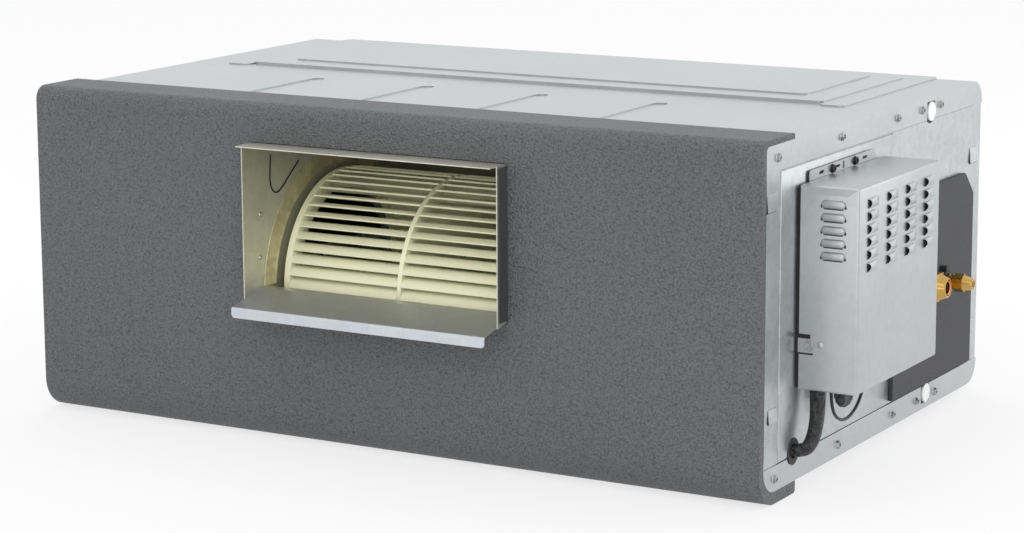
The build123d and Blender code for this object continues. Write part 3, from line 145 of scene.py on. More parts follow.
def finish_of(name, group, metallic=0.0, **values):
    """A material whose colour, roughness and normal come from one group with its own values."""
    material = bpy.data.materials.new(name)
    material.use_nodes = True
    tree = material.node_tree
    shader = tree.nodes["Principled BSDF"]
    shader.inputs["Metallic"].default_value = metallic
    block = tree.nodes.new("ShaderNodeGroup")
    block.node_tree = group
    for label, value in values.items():
        block.inputs[label.replace("_", " ")].default_value = (*value, 1.0) if isinstance(value, tuple) else value
    for output, socket in (("Color", "Base Color"), ("Roughness", "Roughness"), ("Normal", "Normal")):
        tree.links.new(block.outputs[output], shader.inputs[socket])
    return material


def new_piece(name, shape, material, body, *nodes, smooth=32.0, slot=None):
    """Turns a finished bmesh into a piece that rides on a body and stands for any CAD nodes named."""
    mesh = bpy.data.meshes.new(name)
    shape.to_mesh(mesh)
    shape.free()
    mesh.shade_smooth()
    mesh.set_sharp_from_angle(angle=math.radians(smooth))
    mesh.materials.append(material)
    piece = bpy.data.objects.new(name, mesh)
    scene.collection.objects.link(piece)
    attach(piece, body)
    if nodes:
        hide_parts(*nodes)
    return piece


def node_shape(node):
    """A CAD node's shape as a bmesh, with joined faces."""
    shape = bmesh.new()
    shape.from_mesh(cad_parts[node].data)
    bmesh.ops.remove_doubles(shape, verts=shape.verts, dist=0.000002)
    bmesh.ops.dissolve_limit(shape, angle_limit=math.radians(0.5), verts=shape.verts, edges=shape.edges)
    return shape


def refined(node, material, body="casing", soften=0.0, smooth=32.0):
    """A CAD node's own shape with softened edges and smooth curves, in its place."""
    shape = node_shape(node)
    if soften:
        sharp = [e for e in shape.edges if e.is_manifold and e.calc_face_angle() > math.radians(smooth)]
        bmesh.ops.bevel(
            shape, geom=sharp, offset=soften, affect="EDGES", segments=2, profile=0.5, material=-1, clamp_overlap=True
        )
    piece = new_piece(f"{node}_piece", shape, material, body, node, smooth=smooth)
    even = piece.modifiers.new("even_shading", "WEIGHTED_NORMAL")
    even.keep_sharp = True
    return piece


cover_zinc = finish_of(
    "cover_zinc", spangle, metallic=0.9, Tint=(0.5, 0.52, 0.53), Cells=160.0, Contrast=0.06, Smudge=0.3, Waves=0.15, Gloss=0.34
)
refined("top_cover", cover_zinc, soften=0.0004)
refined("bottom_cover", cover_zinc, soften=0.0004)

# Side plates, front panel and return frame: flat galvanised sheets inside the covers' flanges. The service
# side is split at a seam, so that its rear half comes off with the pipes.
plate_zinc = finish_of(
    "plate_zinc", spangle, metallic=0.9, Tint=(0.5, 0.52, 0.53), Cells=110.0, Contrast=0.14, Smudge=0.4, Waves=0.25, Gloss=0.34
)
for node in ("left_side_panel", "right_front_plate", "right_service_plate", "front_panel", "return_frame"):
    refined(node, plate_zinc)

plate_front = front + 0.033
plate_back = front + 0.2985
plate_low = base + 0.0265
plate_high = roof - 0.0265
raised = bmesh.new()
bmesh.ops.create_cube(raised, size=1.0)
bmesh.ops.scale(raised, vec=(0.0009, plate_back - plate_front, plate_high - plate_low), verts=raised.verts)
middle = (right - 0.00055, (plate_front + plate_back) / 2, (plate_low + plate_high) / 2)
bmesh.ops.translate(raised, vec=middle, verts=raised.verts)
outer_edges = [e for e in raised.edges if all(v.co.x > middle[0] for v in e.verts)]
bmesh.ops.bevel(raised, geom=outer_edges, offset=0.0007, affect="EDGES", segments=3, profile=0.5, material=-1)
new_piece("raised_front_plate", raised, plate_zinc, "casing", slot="galvanised")

# Lanced tabs: small tongues cut in the side plates and pushed out at their lower edge, where the inner
# panels' flanges hook in. The slots behind them, the seam and the gaps under the covers' flanges are
# near-black slabs, painted shade in those gaps.
# A near-black material, used wherever a slab or line stands for painted shade in a gap, slot or opening.
painted_gap_shade = bpy.data.materials.new("painted_gap_shade")
painted_gap_shade.use_nodes = True
gap_tree = painted_gap_shade.node_tree
gap_place = object_place(gap_tree)
gap_cloud = add_node(gap_tree, "TexNoise", Vector=gap_place, Scale=40.0)["Fac"]
gap_level = add_math(gap_tree, "ADD", 0.7, gap_cloud)
feed(gap_tree, gap_tree.nodes["Principled BSDF"].inputs["Base Color"], shaded(gap_tree, (0.012, 0.012, 0.012, 1.0), gap_level))
gap_tree.nodes["Principled BSDF"].inputs["Roughness"].default_value = 0.9


def slab(shape, low, high):
    """Adds a rectangular block between two corners and returns its vertices."""
    verts = bmesh.ops.create_cube(shape, size=1.0)["verts"]
    size = [end - start for start, end in zip(low, high)]
    centre = [(start + end) / 2 for start, end in zip(low, high)]
    bmesh.ops.scale(shape, vec=size, verts=verts)
    bmesh.ops.translate(shape, vec=centre, verts=verts)
    return verts


tabs = bmesh.new()
slots = bmesh.new()
for from_front, height, width, tall in (
    (0.0135, 0.2765, 0.022, 0.016),
    (0.0190, 0.0745, 0.018, 0.013),
    (0.5240, 0.2510, 0.022, 0.016),
    (0.5270, 0.0645, 0.018, 0.013),
):
    tab_y, tab_z = front + from_front, base + height
    verts = slab(tabs, (right - 0.001, tab_y - width / 2, tab_z - tall / 2), (right - 0.0003, tab_y + width / 2, tab_z + tall / 2))
    lower = [v for v in verts if v.co.z < tab_z]
    bmesh.ops.translate(tabs, vec=(0.0013, 0, 0), verts=lower)
    slab(slots, (right - 0.00098, tab_y - width / 2, tab_z - tall / 2 - 0.0012), (right - 0.0008, tab_y + width / 2, tab_z - tall / 2 + 0.002))
slab(slots, (right - 0.00098, plate_back, plate_low), (right - 0.0008, plate_back + 0.0007, plate_high))
for gap_z in (base + 0.0250, roof - 0.0256):
    slab(slots, (right - 0.00098, front + 0.030, gap_z), (right - 0.0009, back - 0.022, gap_z + 0.0006))
new_piece("lanced_tabs", tabs, plate_zinc, "casing", slot="galvanised")
new_piece("lanced_gap_shade", slots, painted_gap_shade, "casing", slot="galvanised")

# Casing screws: zinc plated hexagon heads with a washer face and a cross recess, driven through the cover
# flanges into the side plates.
turned, given, result = new_group(
    "turned_metal",
    {"Tint": (0.75, 0.58, 0.28, 1.0), "Tarnish": 0.3, "Gloss": 0.25, "Lines": 0.2},
    {"Color": "Color", "Roughness": "Float", "Normal": "Vector"},
)
place = object_place(turned)
bloom = add_node(turned, "TexNoise", Vector=place, Scale=160.0, Detail=4.0)["Fac"]
tarnish = add_math(turned, "MULTIPLY", add_math(turned, "SUBTRACT", bloom, 0.5), given["Tarnish"])
feed(turned, result["Color"], shaded(turned, given["Tint"], add_math(turned, "ADD", 1.0, tarnish)))
feed(turned, result["Roughness"], add_math(turned, "ADD", given["Gloss"], add_math(turned, "MULTIPLY", tarnish, 0.5), clamp=True))
along = add_node(turned, "SeparateXYZ", Vector=place)["X"]
rings = add_math(turned, "SINE", add_math(turned, "MULTIPLY", along, 9000.0))
turned_bump = add_node(turned, "Bump", Height=rings, Strength=given["Lines"], Distance=0.00006)
feed(turned, result["Normal"], turned_bump["Normal"])
bright_steel = finish_of("bright_steel", turned, metallic=1.0, Tint=(0.46, 0.47, 0.47), Tarnish=0.5, Gloss=0.26, Lines=0.0)


def screw_head(across, height, washer):
    """A hexagon washer head with a cross recess, standing on the XY plane."""
    head = bmesh.new()
    flange = Matrix.Translation((0, 0, 0.12 * height))
    bmesh.ops.create_cone(
        head, cap_ends=True, segments=20, radius1=washer, radius2=0.92 * washer, depth=0.24 * height, matrix=flange
    )
    crown = Matrix.Translation((0, 0, 0.6 * height))
    corner = across / math.sqrt(3)
    bmesh.ops.create_cone(
        head, cap_ends=True, segments=6, radius1=corner, radius2=0.93 * corner, depth=0.8 * height, matrix=crown
    )
    half_slot, half_cross = 0.11 * across, 0.34 * across
    for reach in (-half_cross, -half_slot, half_slot, half_cross):
        for normal in ((1, 0, 0), (0, 1, 0)):
            top = [f for f in head.faces if f.calc_center_median().z > 0.95 * height]
            parts = set(top) | {e for f in top for e in f.edges} | {v for f in top for v in f.verts}
            bmesh.ops.bisect_plane(head, geom=list(parts), plane_co=Vector(normal) * reach, plane_no=normal)
    cross = []
    for face in head.faces:
        middle = face.calc_center_median()
        near, far = sorted((abs(middle.x), abs(middle.y)))
        if middle.z > 0.95 * height and near < half_slot and far < half_cross:
            cross.append(face)
    bmesh.ops.inset_region(head, faces=cross, thickness=0.02 * across, depth=-0.35 * height)
    mesh = bpy.data.meshes.new("screw_head")
    head.to_mesh(mesh)
    head.free()
    return mesh


def stamp(target, mesh, place, axis, spin=0.0):
    """Adds a copy of a small mesh to a shape at one place, with its +Z turned to axis."""
    start = len(target.verts)
    target.from_mesh(mesh)
    target.verts.ensure_lookup_table()
    turn = Vector(axis).to_track_quat("Z", "Y").to_matrix().to_4x4() @ Matrix.Rotation(spin, 4, "Z")
    bmesh.ops.transform(target, matrix=Matrix.Translation(place) @ turn, verts=target.verts[start:])


casing_head = screw_head(0.007, 0.003, 0.0047)
casing_screws = bmesh.new()
for side_x, outward in ((right, 1), (left, -1)):
    for screw_z in (base + 0.0125, roof - 0.0125):
        for step, from_front in enumerate((0.024, 0.171, 0.310, 0.374, 0.424)):
            turn = 0.7 * step + screw_z * 9
            stamp(casing_screws, casing_head, (side_x, front + from_front, screw_z), (outward, 0, 0), spin=turn)
new_piece("casing_screws_piece", casing_screws, bright_steel, "casing", "casing_screws")

# Front foam: closed cell rubber sheet wrapped round the whole supply side and glued on. Its skin is embossed
# with small pebbles, and the tops of the pebbles are painted lighter and their hollows darker: painted
# highlight and shade, so that the dark grey sparkles a little.
pebbles, given, result = new_group(
    "pebbled_foam",
    {"Tint": (0.1, 0.102, 0.105, 1.0), "Cells": 330.0, "Depth": 0.7, "Speckle": 0.5, "Gloss": 0.5},
    {"Color": "Color", "Roughness": "Float", "Normal": "Vector"},
)
place = object_place(pebbles)
drift = add_node(pebbles, "TexNoise", Vector=place, Scale=240.0, Detail=2.0)["Color"]
drifted = pebbles.nodes.new("ShaderNodeVectorMath")
drifted.operation = "MULTIPLY_ADD"
feed(pebbles, drifted.inputs[0], drift)
feed(pebbles, drifted.inputs[1], (0.0022, 0.0022, 0.0022))
feed(pebbles, drifted.inputs[2], place)
cell = add_node(pebbles, "TexVoronoi", Vector=drifted.outputs[0], Scale=given["Cells"])["Distance"]
fine = add_node(pebbles, "TexNoise", Vector=place, Scale=620.0, Detail=2.0, Roughness=0.6)["Fac"]
hill = add_math(pebbles, "SUBTRACT", 0.8, cell)
height = add_math(pebbles, "MULTIPLY_ADD", fine, 0.5)
pebbles.nodes[-1].inputs[2].default_value = 0.0
height = add_math(pebbles, "ADD", height, hill)
patches = add_node(pebbles, "TexNoise", Vector=place, Scale=3.5, Detail=4.0)["Fac"]
patch_level = add_math(pebbles, "MULTIPLY", add_math(pebbles, "SUBTRACT", patches, 0.5), 0.25)
# The colour follows the pebbles' height: painted highlight on their tops and painted shade in their hollows.
pebble_light_and_shade = add_math(pebbles, "MULTIPLY", add_math(pebbles, "SUBTRACT", height, 0.62), given["Speckle"])
foam_tone_and_shading = add_math(pebbles, "ADD", 1.0, add_math(pebbles, "ADD", patch_level, pebble_light_and_shade))
feed(pebbles, result["Color"], shaded(pebbles, given["Tint"], foam_tone_and_shading))
feed(pebbles, result["Roughness"], add_math(pebbles, "SUBTRACT", given["Gloss"], add_math(pebbles, "MULTIPLY", patch_level, 0.3)))
foam_bump = add_node(pebbles, "Bump", Height=height, Strength=given["Depth"], Distance=0.0016)
feed(pebbles, result["Normal"], foam_bump["Normal"])
foam_skin = finish_of("foam_skin", pebbles, Tint=(0.122, 0.125, 0.131), Cells=500.0, Depth=0.9, Speckle=0.9, Gloss=0.5)
foam_shape = node_shape("front_foam")
flap_edge = [v for v in foam_shape.verts if v.co.y > front + 0.06 and v.co.z > roof - 0.01]
bmesh.ops.translate(foam_shape, vec=(0, -0.026, 0), verts=flap_edge)
foam_corners = [e for e in foam_shape.edges if e.is_manifold and e.calc_face_angle() > math.radians(32)]
bmesh.ops.bevel(
    foam_shape, geom=foam_corners, offset=0.0015, affect="EDGES", segments=3, profile=0.5, material=-1, clamp_overlap=True
)
foam_piece = new_piece("front_foam_skin", foam_shape, foam_skin, "casing", "front_foam")
foam_piece.modifiers.new("even_shading", "WEIGHTED_NORMAL").keep_sharp = True

# Foam pads: plain thinner foam, one round the pipes on the service plate and one under the drain pan.
# The pads' pebbles carry the same painted highlight and shade, more weakly.
pad_foam = finish_of("pad_foam", pebbles, Tint=(0.055, 0.056, 0.06), Cells=600.0, Depth=0.3, Speckle=0.3, Gloss=0.7)
for node in ("side_foam_pad", "rear_foam_pad"):
    refined(node, pad_foam, soften=0.0008)

# Blower casing: galvanised sheet rolled round the wheel, with riveted side walls that run out as the duct.
# Its olive-yellow tint is partly an oil film and partly painted light: the yellow light that the cream wheel
# throws on it.
scroll_zinc = finish_of(
    "scroll_zinc", spangle, metallic=0.75, Tint=(0.64, 0.635, 0.55), Cells=90.0, Contrast=0.1, Smudge=0.35, Waves=0.3, Gloss=0.4
)
for node in ("scroll_wrap", "scroll_plate_left", "scroll_plate_right", "inlet_ring_left", "inlet_ring_right", "scroll_feet"):
    refined(node, scroll_zinc)
tray_zinc = finish_of(
    "tray_zinc", spangle, metallic=0.85, Tint=(0.6, 0.63, 0.67), Cells=90.0, Contrast=0.06, Smudge=0.2, Waves=0.1, Gloss=0.34
)
refined("outlet_tray", tray_zinc, soften=0.0003)

# Thin dark foam strips on the outside of the outlet's side walls, painted shade: they darken the outer face of
# each wall, which lies in shadow and mirrors the dark foam.
wall_outside_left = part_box("scroll_plate_left")[1][0] - 0.001
wall_outside_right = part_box("scroll_plate_right")[0][0] + 0.001
duct_wall_shade = bmesh.new()
duct_low, duct_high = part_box("outlet_tray")[1][2] - 0.002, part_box("scroll_wrap")[1][2] - 0.002
for low_x, high_x in ((wall_outside_left - 0.0012, wall_outside_left), (wall_outside_right, wall_outside_right + 0.0012)):
    slab(duct_wall_shade, (low_x, front - 0.0255, duct_low), (high_x, front - 0.0085, duct_high))
new_piece("duct_wall_shade_strips", duct_wall_shade, pad_foam, "casing", slot="foam")

# Details of the outlet: blind rivets that hold the side walls to the front panel and the tray, a line cut for a
# bent tab in each wall, and the rolled ring round each inlet, whose mottled brown tint is a painted reflection
# of the cream wheel.
rivet_head = bmesh.new()
bmesh.ops.create_uvsphere(rivet_head, u_segments=12, v_segments=8, radius=0.0026)
bmesh.ops.delete(rivet_head, geom=[v for v in rivet_head.verts if v.co.z < -0.0001], context="VERTS")
bmesh.ops.scale(rivet_head, vec=(1.0, 1.0, 0.6), verts=rivet_head.verts)
pin = Matrix.Translation((0, 0, 0.0018))
bmesh.ops.create_cone(rivet_head, cap_ends=True, segments=8, radius1=0.0009, radius2=0.0007, depth=0.0016, matrix=pin)
rivet_mesh = bpy.data.meshes.new("rivet_head")
rivet_head.to_mesh(rivet_mesh)
rivet_head.free()
duct_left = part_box("scroll_plate_left")[1][0]
duct_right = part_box("scroll_plate_right")[0][0]
rivets = bmesh.new()
for wall_x, inward in ((duct_left, 1), (duct_right, -1)):
    for from_front, height in ((0.0035, 0.220), (0.0019, 0.1757)):
        stamp(rivets, rivet_mesh, (wall_x, front + from_front, base + height), (inward, 0, 0))
new_piece("wall_rivets", rivets, bright_steel, "casing", slot="screw_steel")

# Each line is a near-black tube on the wall, painted shade in the cut.
for name, wall_x in (("left_wall_line", duct_left), ("right_wall_line", duct_right)):
    line_data = bpy.data.curves.new(name, "CURVE")
    line_data.dimensions = "3D"
    line_data.bevel_depth = 0.0009
    line_data.bevel_resolution = 2
    run = line_data.splines.new("NURBS")
    corners = ((0.023, 0.279), (0.0215, 0.262), (0.0215, 0.246), (0.031, 0.237), (0.042, 0.241), (0.058, 0.254), (0.074, 0.266))
    run.points.add(len(corners) - 1)
    for point, (from_front, height) in zip(run.points, corners):
        point.co = (wall_x, front + from_front, base + height, 1.0)
    run.order_u = 3
    run.use_endpoint_u = True
    line_data.materials.append(painted_gap_shade)
    wall_line = bpy.data.objects.new(name, line_data)
    scene.collection.objects.link(wall_line)
    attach(wall_line, "casing")

wheel_low, wheel_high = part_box("wheel_rims")
axle_y = (wheel_low[1] + wheel_high[1]) / 2
axle_z = (wheel_low[2] + wheel_high[2]) / 2
wheel_radius = (wheel_high[2] - wheel_low[2]) / 2
# A mottled brown zinc whose tint is a painted reflection of the cream wheel.
mirrored_wheel_zinc = finish_of(
    "mirrored_wheel_zinc", spangle, metallic=0.6, Tint=(0.58, 0.53, 0.33), Cells=100.0, Contrast=0.3, Smudge=1.2, Waves=0.5, Gloss=0.42
)
for name, wall_x, inward in (("left_ring_roll", duct_left, 1), ("right_ring_roll", duct_right, -1)):
    roll = bmesh.new()
    profile = [
        roll.verts.new((wall_x + inward * proud, axle_y, axle_z + wheel_radius + reach))
        for proud, reach in (
            (0.0001, 0.0020), (0.0020, 0.0026), (0.0026, 0.0045), (0.0016, 0.0065), (0.0007, 0.0080), (0.0007, 0.0220), (0.0001, 0.0226)
        )
    ]
    for start, end in zip(profile, profile[1:]):
        roll.edges.new((start, end))
    bmesh.ops.spin(roll, geom=roll.edges[:], cent=(wall_x, axle_y, axle_z), axis=(1, 0, 0), angle=2 * math.pi, steps=96, use_merge=True)
    bmesh.ops.remove_doubles(roll, verts=roll.verts, dist=0.00001)
    above_tray = axle_z + 0.0075
    bmesh.ops.bisect_plane(
        roll, geom=roll.verts[:] + roll.edges[:] + roll.faces[:], plane_co=(0, 0, above_tray), plane_no=(0, 0, -1), clear_outer=True
    )
    bmesh.ops.recalc_face_normals(roll, faces=roll.faces)
    new_piece(name, roll, mirrored_wheel_zinc, "casing", slot="galvanised")

# Fan wheel: forward curved blades moulded in cream plastic between two rims and a centre disc.
moulded, given, result = new_group(
    "moulded_plastic",
    {"Tint": (0.7, 0.7, 0.5, 1.0), "Stain": 0.15, "Gloss": 0.4, "Grain": 0.15},
    {"Color": "Color", "Roughness": "Float", "Normal": "Vector"},
)
place = object_place(moulded)
clouds = add_node(moulded, "TexNoise", Vector=place, Scale=18.0, Detail=5.0)["Fac"]
stain = add_math(moulded, "MULTIPLY", add_math(moulded, "SUBTRACT", clouds, 0.5), given["Stain"])
feed(moulded, result["Color"], shaded(moulded, given["Tint"], add_math(moulded, "ADD", 1.0, stain)))
feed(moulded, result["Roughness"], add_math(moulded, "ADD", given["Gloss"], stain, clamp=True))
grain = add_node(moulded, "TexNoise", Vector=place, Scale=900.0, Detail=2.0)["Fac"]
plastic_bump = add_node(moulded, "Bump", Height=grain, Strength=given["Grain"], Distance=0.0002)
feed(moulded, result["Normal"], plastic_bump["Normal"])
cream_plastic = finish_of("cream_plastic", moulded, Tint=(0.92, 0.91, 0.66), Stain=0.12, Gloss=0.4, Grain=0.1)
for node in ("wheel_rims", "wheel_disc"):
    refined(node, cream_plastic, body="rotor", soften=0.0004)

blade_count = 54
blade_centre = Vector((0.0, axle_y + 0.09711, axle_z + 0.01378))
blades = bmesh.new()
disc_low, disc_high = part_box("wheel_disc")
for start, length in ((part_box("wheel_blades")[0][0], disc_low[0]), (disc_high[0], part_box("wheel_blades")[1][0])):
    cage = bmesh.new()
    root = cage.verts.new((start, axle_y + 0.1008, axle_z))
    bmesh.ops.spin(cage, geom=[root], cent=(start, *blade_centre[1:]), axis=(1, 0, 0), angle=math.radians(62), steps=6)
    edges = cage.edges[:]
    swept = bmesh.ops.extrude_edge_only(cage, edges=edges)["geom"]
    bmesh.ops.translate(cage, vec=(length - start, 0, 0), verts=[g for g in swept if isinstance(g, bmesh.types.BMVert)])
    bmesh.ops.solidify(cage, geom=cage.faces[:], thickness=0.0018)
    bmesh.ops.recalc_face_normals(cage, faces=cage.faces)
    bmesh.ops.spin(
        cage,
        geom=cage.verts[:] + cage.edges[:] + cage.faces[:],
        cent=(start, axle_y, axle_z),
        axis=(1, 0, 0),
        angle=2 * math.pi * (blade_count - 1) / blade_count,
        steps=blade_count - 1,
        use_duplicate=True,
    )
    half = bpy.data.meshes.new("half_blades")
    cage.to_mesh(half)
    cage.free()
    blades.from_mesh(half)
new_piece("wheel_blades_piece", blades, cream_plastic, "rotor", "wheel_blades")
steel = finish_of("shaft_steel", turned, metallic=1.0, Tint=(0.55, 0.55, 0.54), Tarnish=0.3, Gloss=0.3, Lines=0.5)
for node in ("wheel_hub", "fan_shaft"):
    refined(node, steel, body="rotor")

# Electrical box back tray: galvanised sheet on four stand-offs, with a slotted lip that two black screws hold
# to the casing and a latch tab at its front edge. Near-black slabs are painted shade: a strip in the gap along
# the cover's edge and in the lip's slots, and a painted shadow round the latch tab.
box_zinc = finish_of(
    "box_zinc", spangle, metallic=0.9, Tint=(0.47, 0.49, 0.5), Cells=140.0, Contrast=0.06, Smudge=0.3, Waves=0.15, Gloss=0.36
)
refined("box_back_plate", box_zinc)
tray_low, tray_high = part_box("box_back_plate")
shell_low, shell_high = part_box("box_cover")
outer_x = right + 0.063
cover_front, cover_back = shell_low[1], shell_high[1]
cover_low, cover_high = shell_low[2], shell_high[2]
strip = bmesh.new()
slab(strip, (right + 0.0005, cover_front + 0.0004, cover_low + 0.002), (shell_low[0] + 0.0002, cover_front + 0.003, cover_high - 0.004))
lip_face = shell_low[0] - 0.0005
slab(strip, (lip_face - 0.0001, front + 0.1475, cover_high + 0.0044), (lip_face + 0.00015, front + 0.1595, cover_high + 0.0068))
slab(strip, (lip_face - 0.0001, front + 0.1675, cover_high + 0.0016), (lip_face + 0.00015, front + 0.1697, cover_high + 0.0088))
tab_z = base + 0.133
# Painted shadow round the latch tab: a dark notch above it, a dark band at its side and a dark line below.
slab(strip, (right + 0.0022, cover_front - 0.0005, tab_z + 0.0070), (right + 0.0150, cover_front + 0.0004, tab_z + 0.0110))
slab(strip, (right - 0.0008, cover_front - 0.0004, tab_z - 0.0100), (right + 0.0022, cover_front + 0.0014, tab_z + 0.0110))
slab(strip, (right + 0.0022, cover_front - 0.0005, tab_z - 0.0084), (right + 0.0180, cover_front + 0.0004, tab_z - 0.0070))
new_piece("box_edge_shade_slabs", strip, painted_gap_shade, "casing", slot="foam")
dark_steel = finish_of("dark_steel", turned, metallic=1.0, Tint=(0.05, 0.05, 0.055), Tarnish=0.4, Gloss=0.42, Lines=0.0)
lip_screws = bmesh.new()
lip_centre = front + 0.090 + 0.157 / 2
for offset in (-0.027, 0.027):
    stamp(lip_screws, casing_head, (lip_face, lip_centre + offset, cover_high + 0.005), (1, 0, 0), spin=offset * 20)
new_piece("box_screws_piece", lip_screws, dark_steel, "casing", "box_screws")

# Electrical box cover: one folded galvanised sheet with a lapped top. Five round ended louvres are pressed in
# its front wall and four rows of hooded ones in its outer wall; it slides off sideways.
cover_body = bmesh.new()
slab(cover_body, (shell_low[0], cover_front, cover_low), (outer_x, cover_back, cover_high))
open_face = [f for f in cover_body.faces if f.normal.x < -0.9]
bmesh.ops.delete(cover_body, geom=open_face, context="FACES")
folds = [e for e in cover_body.edges if not e.is_boundary]
bmesh.ops.bevel(cover_body, geom=folds, offset=0.0022, affect="EDGES", segments=4, profile=0.5, material=-1)
bmesh.ops.recalc_face_normals(cover_body, faces=cover_body.faces)
bmesh.ops.solidify(cover_body, geom=cover_body.faces[:], thickness=0.001)
lap_low = base + 0.2785
lap = slab(cover_body, (shell_low[0] + 0.001, cover_front - 0.0007, lap_low), (outer_x - 0.0012, cover_front + 0.0002, cover_high - 0.0015))
lap_faces = {f for v in lap for f in v.link_faces}
lap_edges = {e for f in lap_faces for e in f.edges}
slanted = Vector((0.62, 0.0, -0.78))
corner_cut = Vector((outer_x - 0.011, 0, lap_low))
cut = bmesh.ops.bisect_plane(
    cover_body, geom=[*lap, *lap_edges, *lap_faces], plane_co=corner_cut, plane_no=slanted, clear_outer=True
)
rim = [g for g in cut["geom_cut"] if isinstance(g, bmesh.types.BMEdge)]
bmesh.ops.edgeloop_fill(cover_body, edges=rim)
new_piece("box_cover_shell", cover_body, box_zinc, "box_cover", "box_cover")

domes = bmesh.new()
louvre_shade_slabs = bmesh.new()
dome_radius, dome_half = 0.0041, 0.0082
pressed_dome = bmesh.new()
bmesh.ops.create_uvsphere(pressed_dome, u_segments=20, v_segments=11, radius=dome_radius)
bmesh.ops.rotate(pressed_dome, cent=(0, 0, 0), matrix=Matrix.Rotation(math.pi / 2, 3, "Y"), verts=pressed_dome.verts)
for direction in (-1, 1):
    end_half = [v for v in pressed_dome.verts if v.co.x * direction > 0]
    bmesh.ops.translate(pressed_dome, vec=(direction * dome_half, 0, 0), verts=end_half)
bmesh.ops.scale(pressed_dome, vec=(1, 0.75, 1), verts=pressed_dome.verts)
bmesh.ops.delete(pressed_dome, geom=[v for v in pressed_dome.verts if v.co.y > 0.0001], context="VERTS")
dome_mesh = bpy.data.meshes.new("pressed_dome")
pressed_dome.to_mesh(dome_mesh)
pressed_dome.free()


def put(target, mesh, place):
    """Adds a copy of a small mesh to a shape, moved to one place."""
    start = len(target.verts)
    target.from_mesh(mesh)
    target.verts.ensure_lookup_table()
    bmesh.ops.translate(target, vec=place, verts=target.verts[start:])


for step in range(5):
    dome_z = cover_high - 0.0164 - step * 0.0122
    put(domes, dome_mesh, (right + 0.037, cover_front, dome_z))
    # Under each dome a near-black slab is painted shade in its opening, and two at its ends a painted dark outline.
    slab(louvre_shade_slabs, (right + 0.0275, cover_front - 0.0009, dome_z - 0.0047), (right + 0.0465, cover_front - 0.0001, dome_z - 0.0036))
    for end_x in (right + 0.0250, right + 0.0490):
        slab(louvre_shade_slabs, (end_x - 0.0008, cover_front - 0.0007, dome_z - 0.0034), (end_x + 0.0008, cover_front - 0.0001, dome_z - 0.0006))

hood = bmesh.new()
hood_length, hood_width, hood_rise = 0.027, 0.0100, 0.0034
arches = []
for step in range(9):
    along = step / 8
    rise = hood_rise * (1 - along) ** 0.6 + 0.0003
    arches.append([
        hood.verts.new((
            rise * math.cos(math.radians(turn)) - 0.0002,
            (along - 0.5) * hood_length + 0.0045 * (1 - along) * math.cos(math.radians(turn)),
            hood_width / 2 * math.sin(math.radians(turn)),
        ))
        for turn in range(-90, 91, 18)
    ])
for near_arch, far_arch in zip(arches, arches[1:]):
    for side in range(10):
        hood.faces.new((near_arch[side], near_arch[side + 1], far_arch[side + 1], far_arch[side]))
bmesh.ops.recalc_face_normals(hood, faces=hood.faces)
bmesh.ops.solidify(hood, geom=hood.faces[:], thickness=0.0006)
hood_mesh = bpy.data.meshes.new("hood")
hood.to_mesh(hood_mesh)
hood.free()
# A near-black slab inside each hood's mouth is painted shade in the opening.
mouth = bmesh.new()
slab(mouth, (0.0001, -0.0118, -0.0006), (0.0004, 0.0000, 0.0038))
mouth_mesh = bpy.data.meshes.new("mouth")
mouth.to_mesh(mouth_mesh)
mouth.free()
for from_front in (0.1002, 0.1472, 0.1938, 0.2398):
    for row in range(6):
        hood_place = (outer_x, front + from_front, base + 0.2697 - 0.0121 * row)
        put(domes, hood_mesh, hood_place)
        put(louvre_shade_slabs, mouth_mesh, hood_place)
new_piece("box_louvres", domes, box_zinc, "box_cover", slot="galvanised")
new_piece("box_louvre_shade", louvre_shade_slabs, painted_gap_shade, "box_cover", slot="galvanised")

# Latch: a hexagon screw through the cover and the tray's tab, beside a small pressed dimple.
latch = bmesh.new()
latch_low, latch_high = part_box("latch_screw")
latch_x = (latch_low[0] + latch_high[0]) / 2
latch_z = (latch_low[2] + latch_high[2]) / 2
latch_face = latch_low[1] + 0.0022
latch_head = screw_head(0.0075, 0.0034, 0.0054)
stamp(latch, latch_head, (latch_x, latch_face, latch_z), (0, -1, 0), spin=0.4)
shank = Matrix.Translation((latch_x, (latch_face + latch_high[1]) / 2, latch_z)) @ Matrix.Rotation(math.pi / 2, 4, "X")
bmesh.ops.create_cone(
    latch, cap_ends=True, segments=16, radius1=0.0019, radius2=0.0019, depth=latch_high[1] - latch_face, matrix=shank
)
tab = bmesh.new()
slab(tab, (right + 0.0012, latch_low[1] + 0.0022, latch_z - 0.0075), (right + 0.0172, latch_low[1] + 0.0034, latch_z + 0.0075))
slab(tab, (right + 0.0004, latch_low[1] + 0.0022, latch_z - 0.0075), (right + 0.0016, cover_front + 0.004, latch_z + 0.0075))
tab_corners = [e for e in tab.edges if abs(e.verts[0].co.y - e.verts[1].co.y) > 0.0008 and e.verts[0].co.x > right + 0.016]
bmesh.ops.bevel(tab, geom=tab_corners, offset=0.003, affect="EDGES", segments=4, profile=0.5, material=-1)
new_piece("latch_tab_fold", tab, plate_zinc, "casing", slot="galvanised")
new_piece("latch_screw_piece", latch, bright_steel, "casing", "latch_screw")
dimple = bmesh.new()
bmesh.ops.create_uvsphere(dimple, u_segments=16, v_segments=10, radius=0.0032)
bmesh.ops.scale(dimple, vec=(1, 0.4, 1), verts=dimple.verts)
bmesh.ops.translate(dimple, vec=(right + 0.0256, cover_front, base + 0.135), verts=dimple.verts)
new_piece("box_dimple", dimple, box_zinc, "box_cover", slot="galvanised")

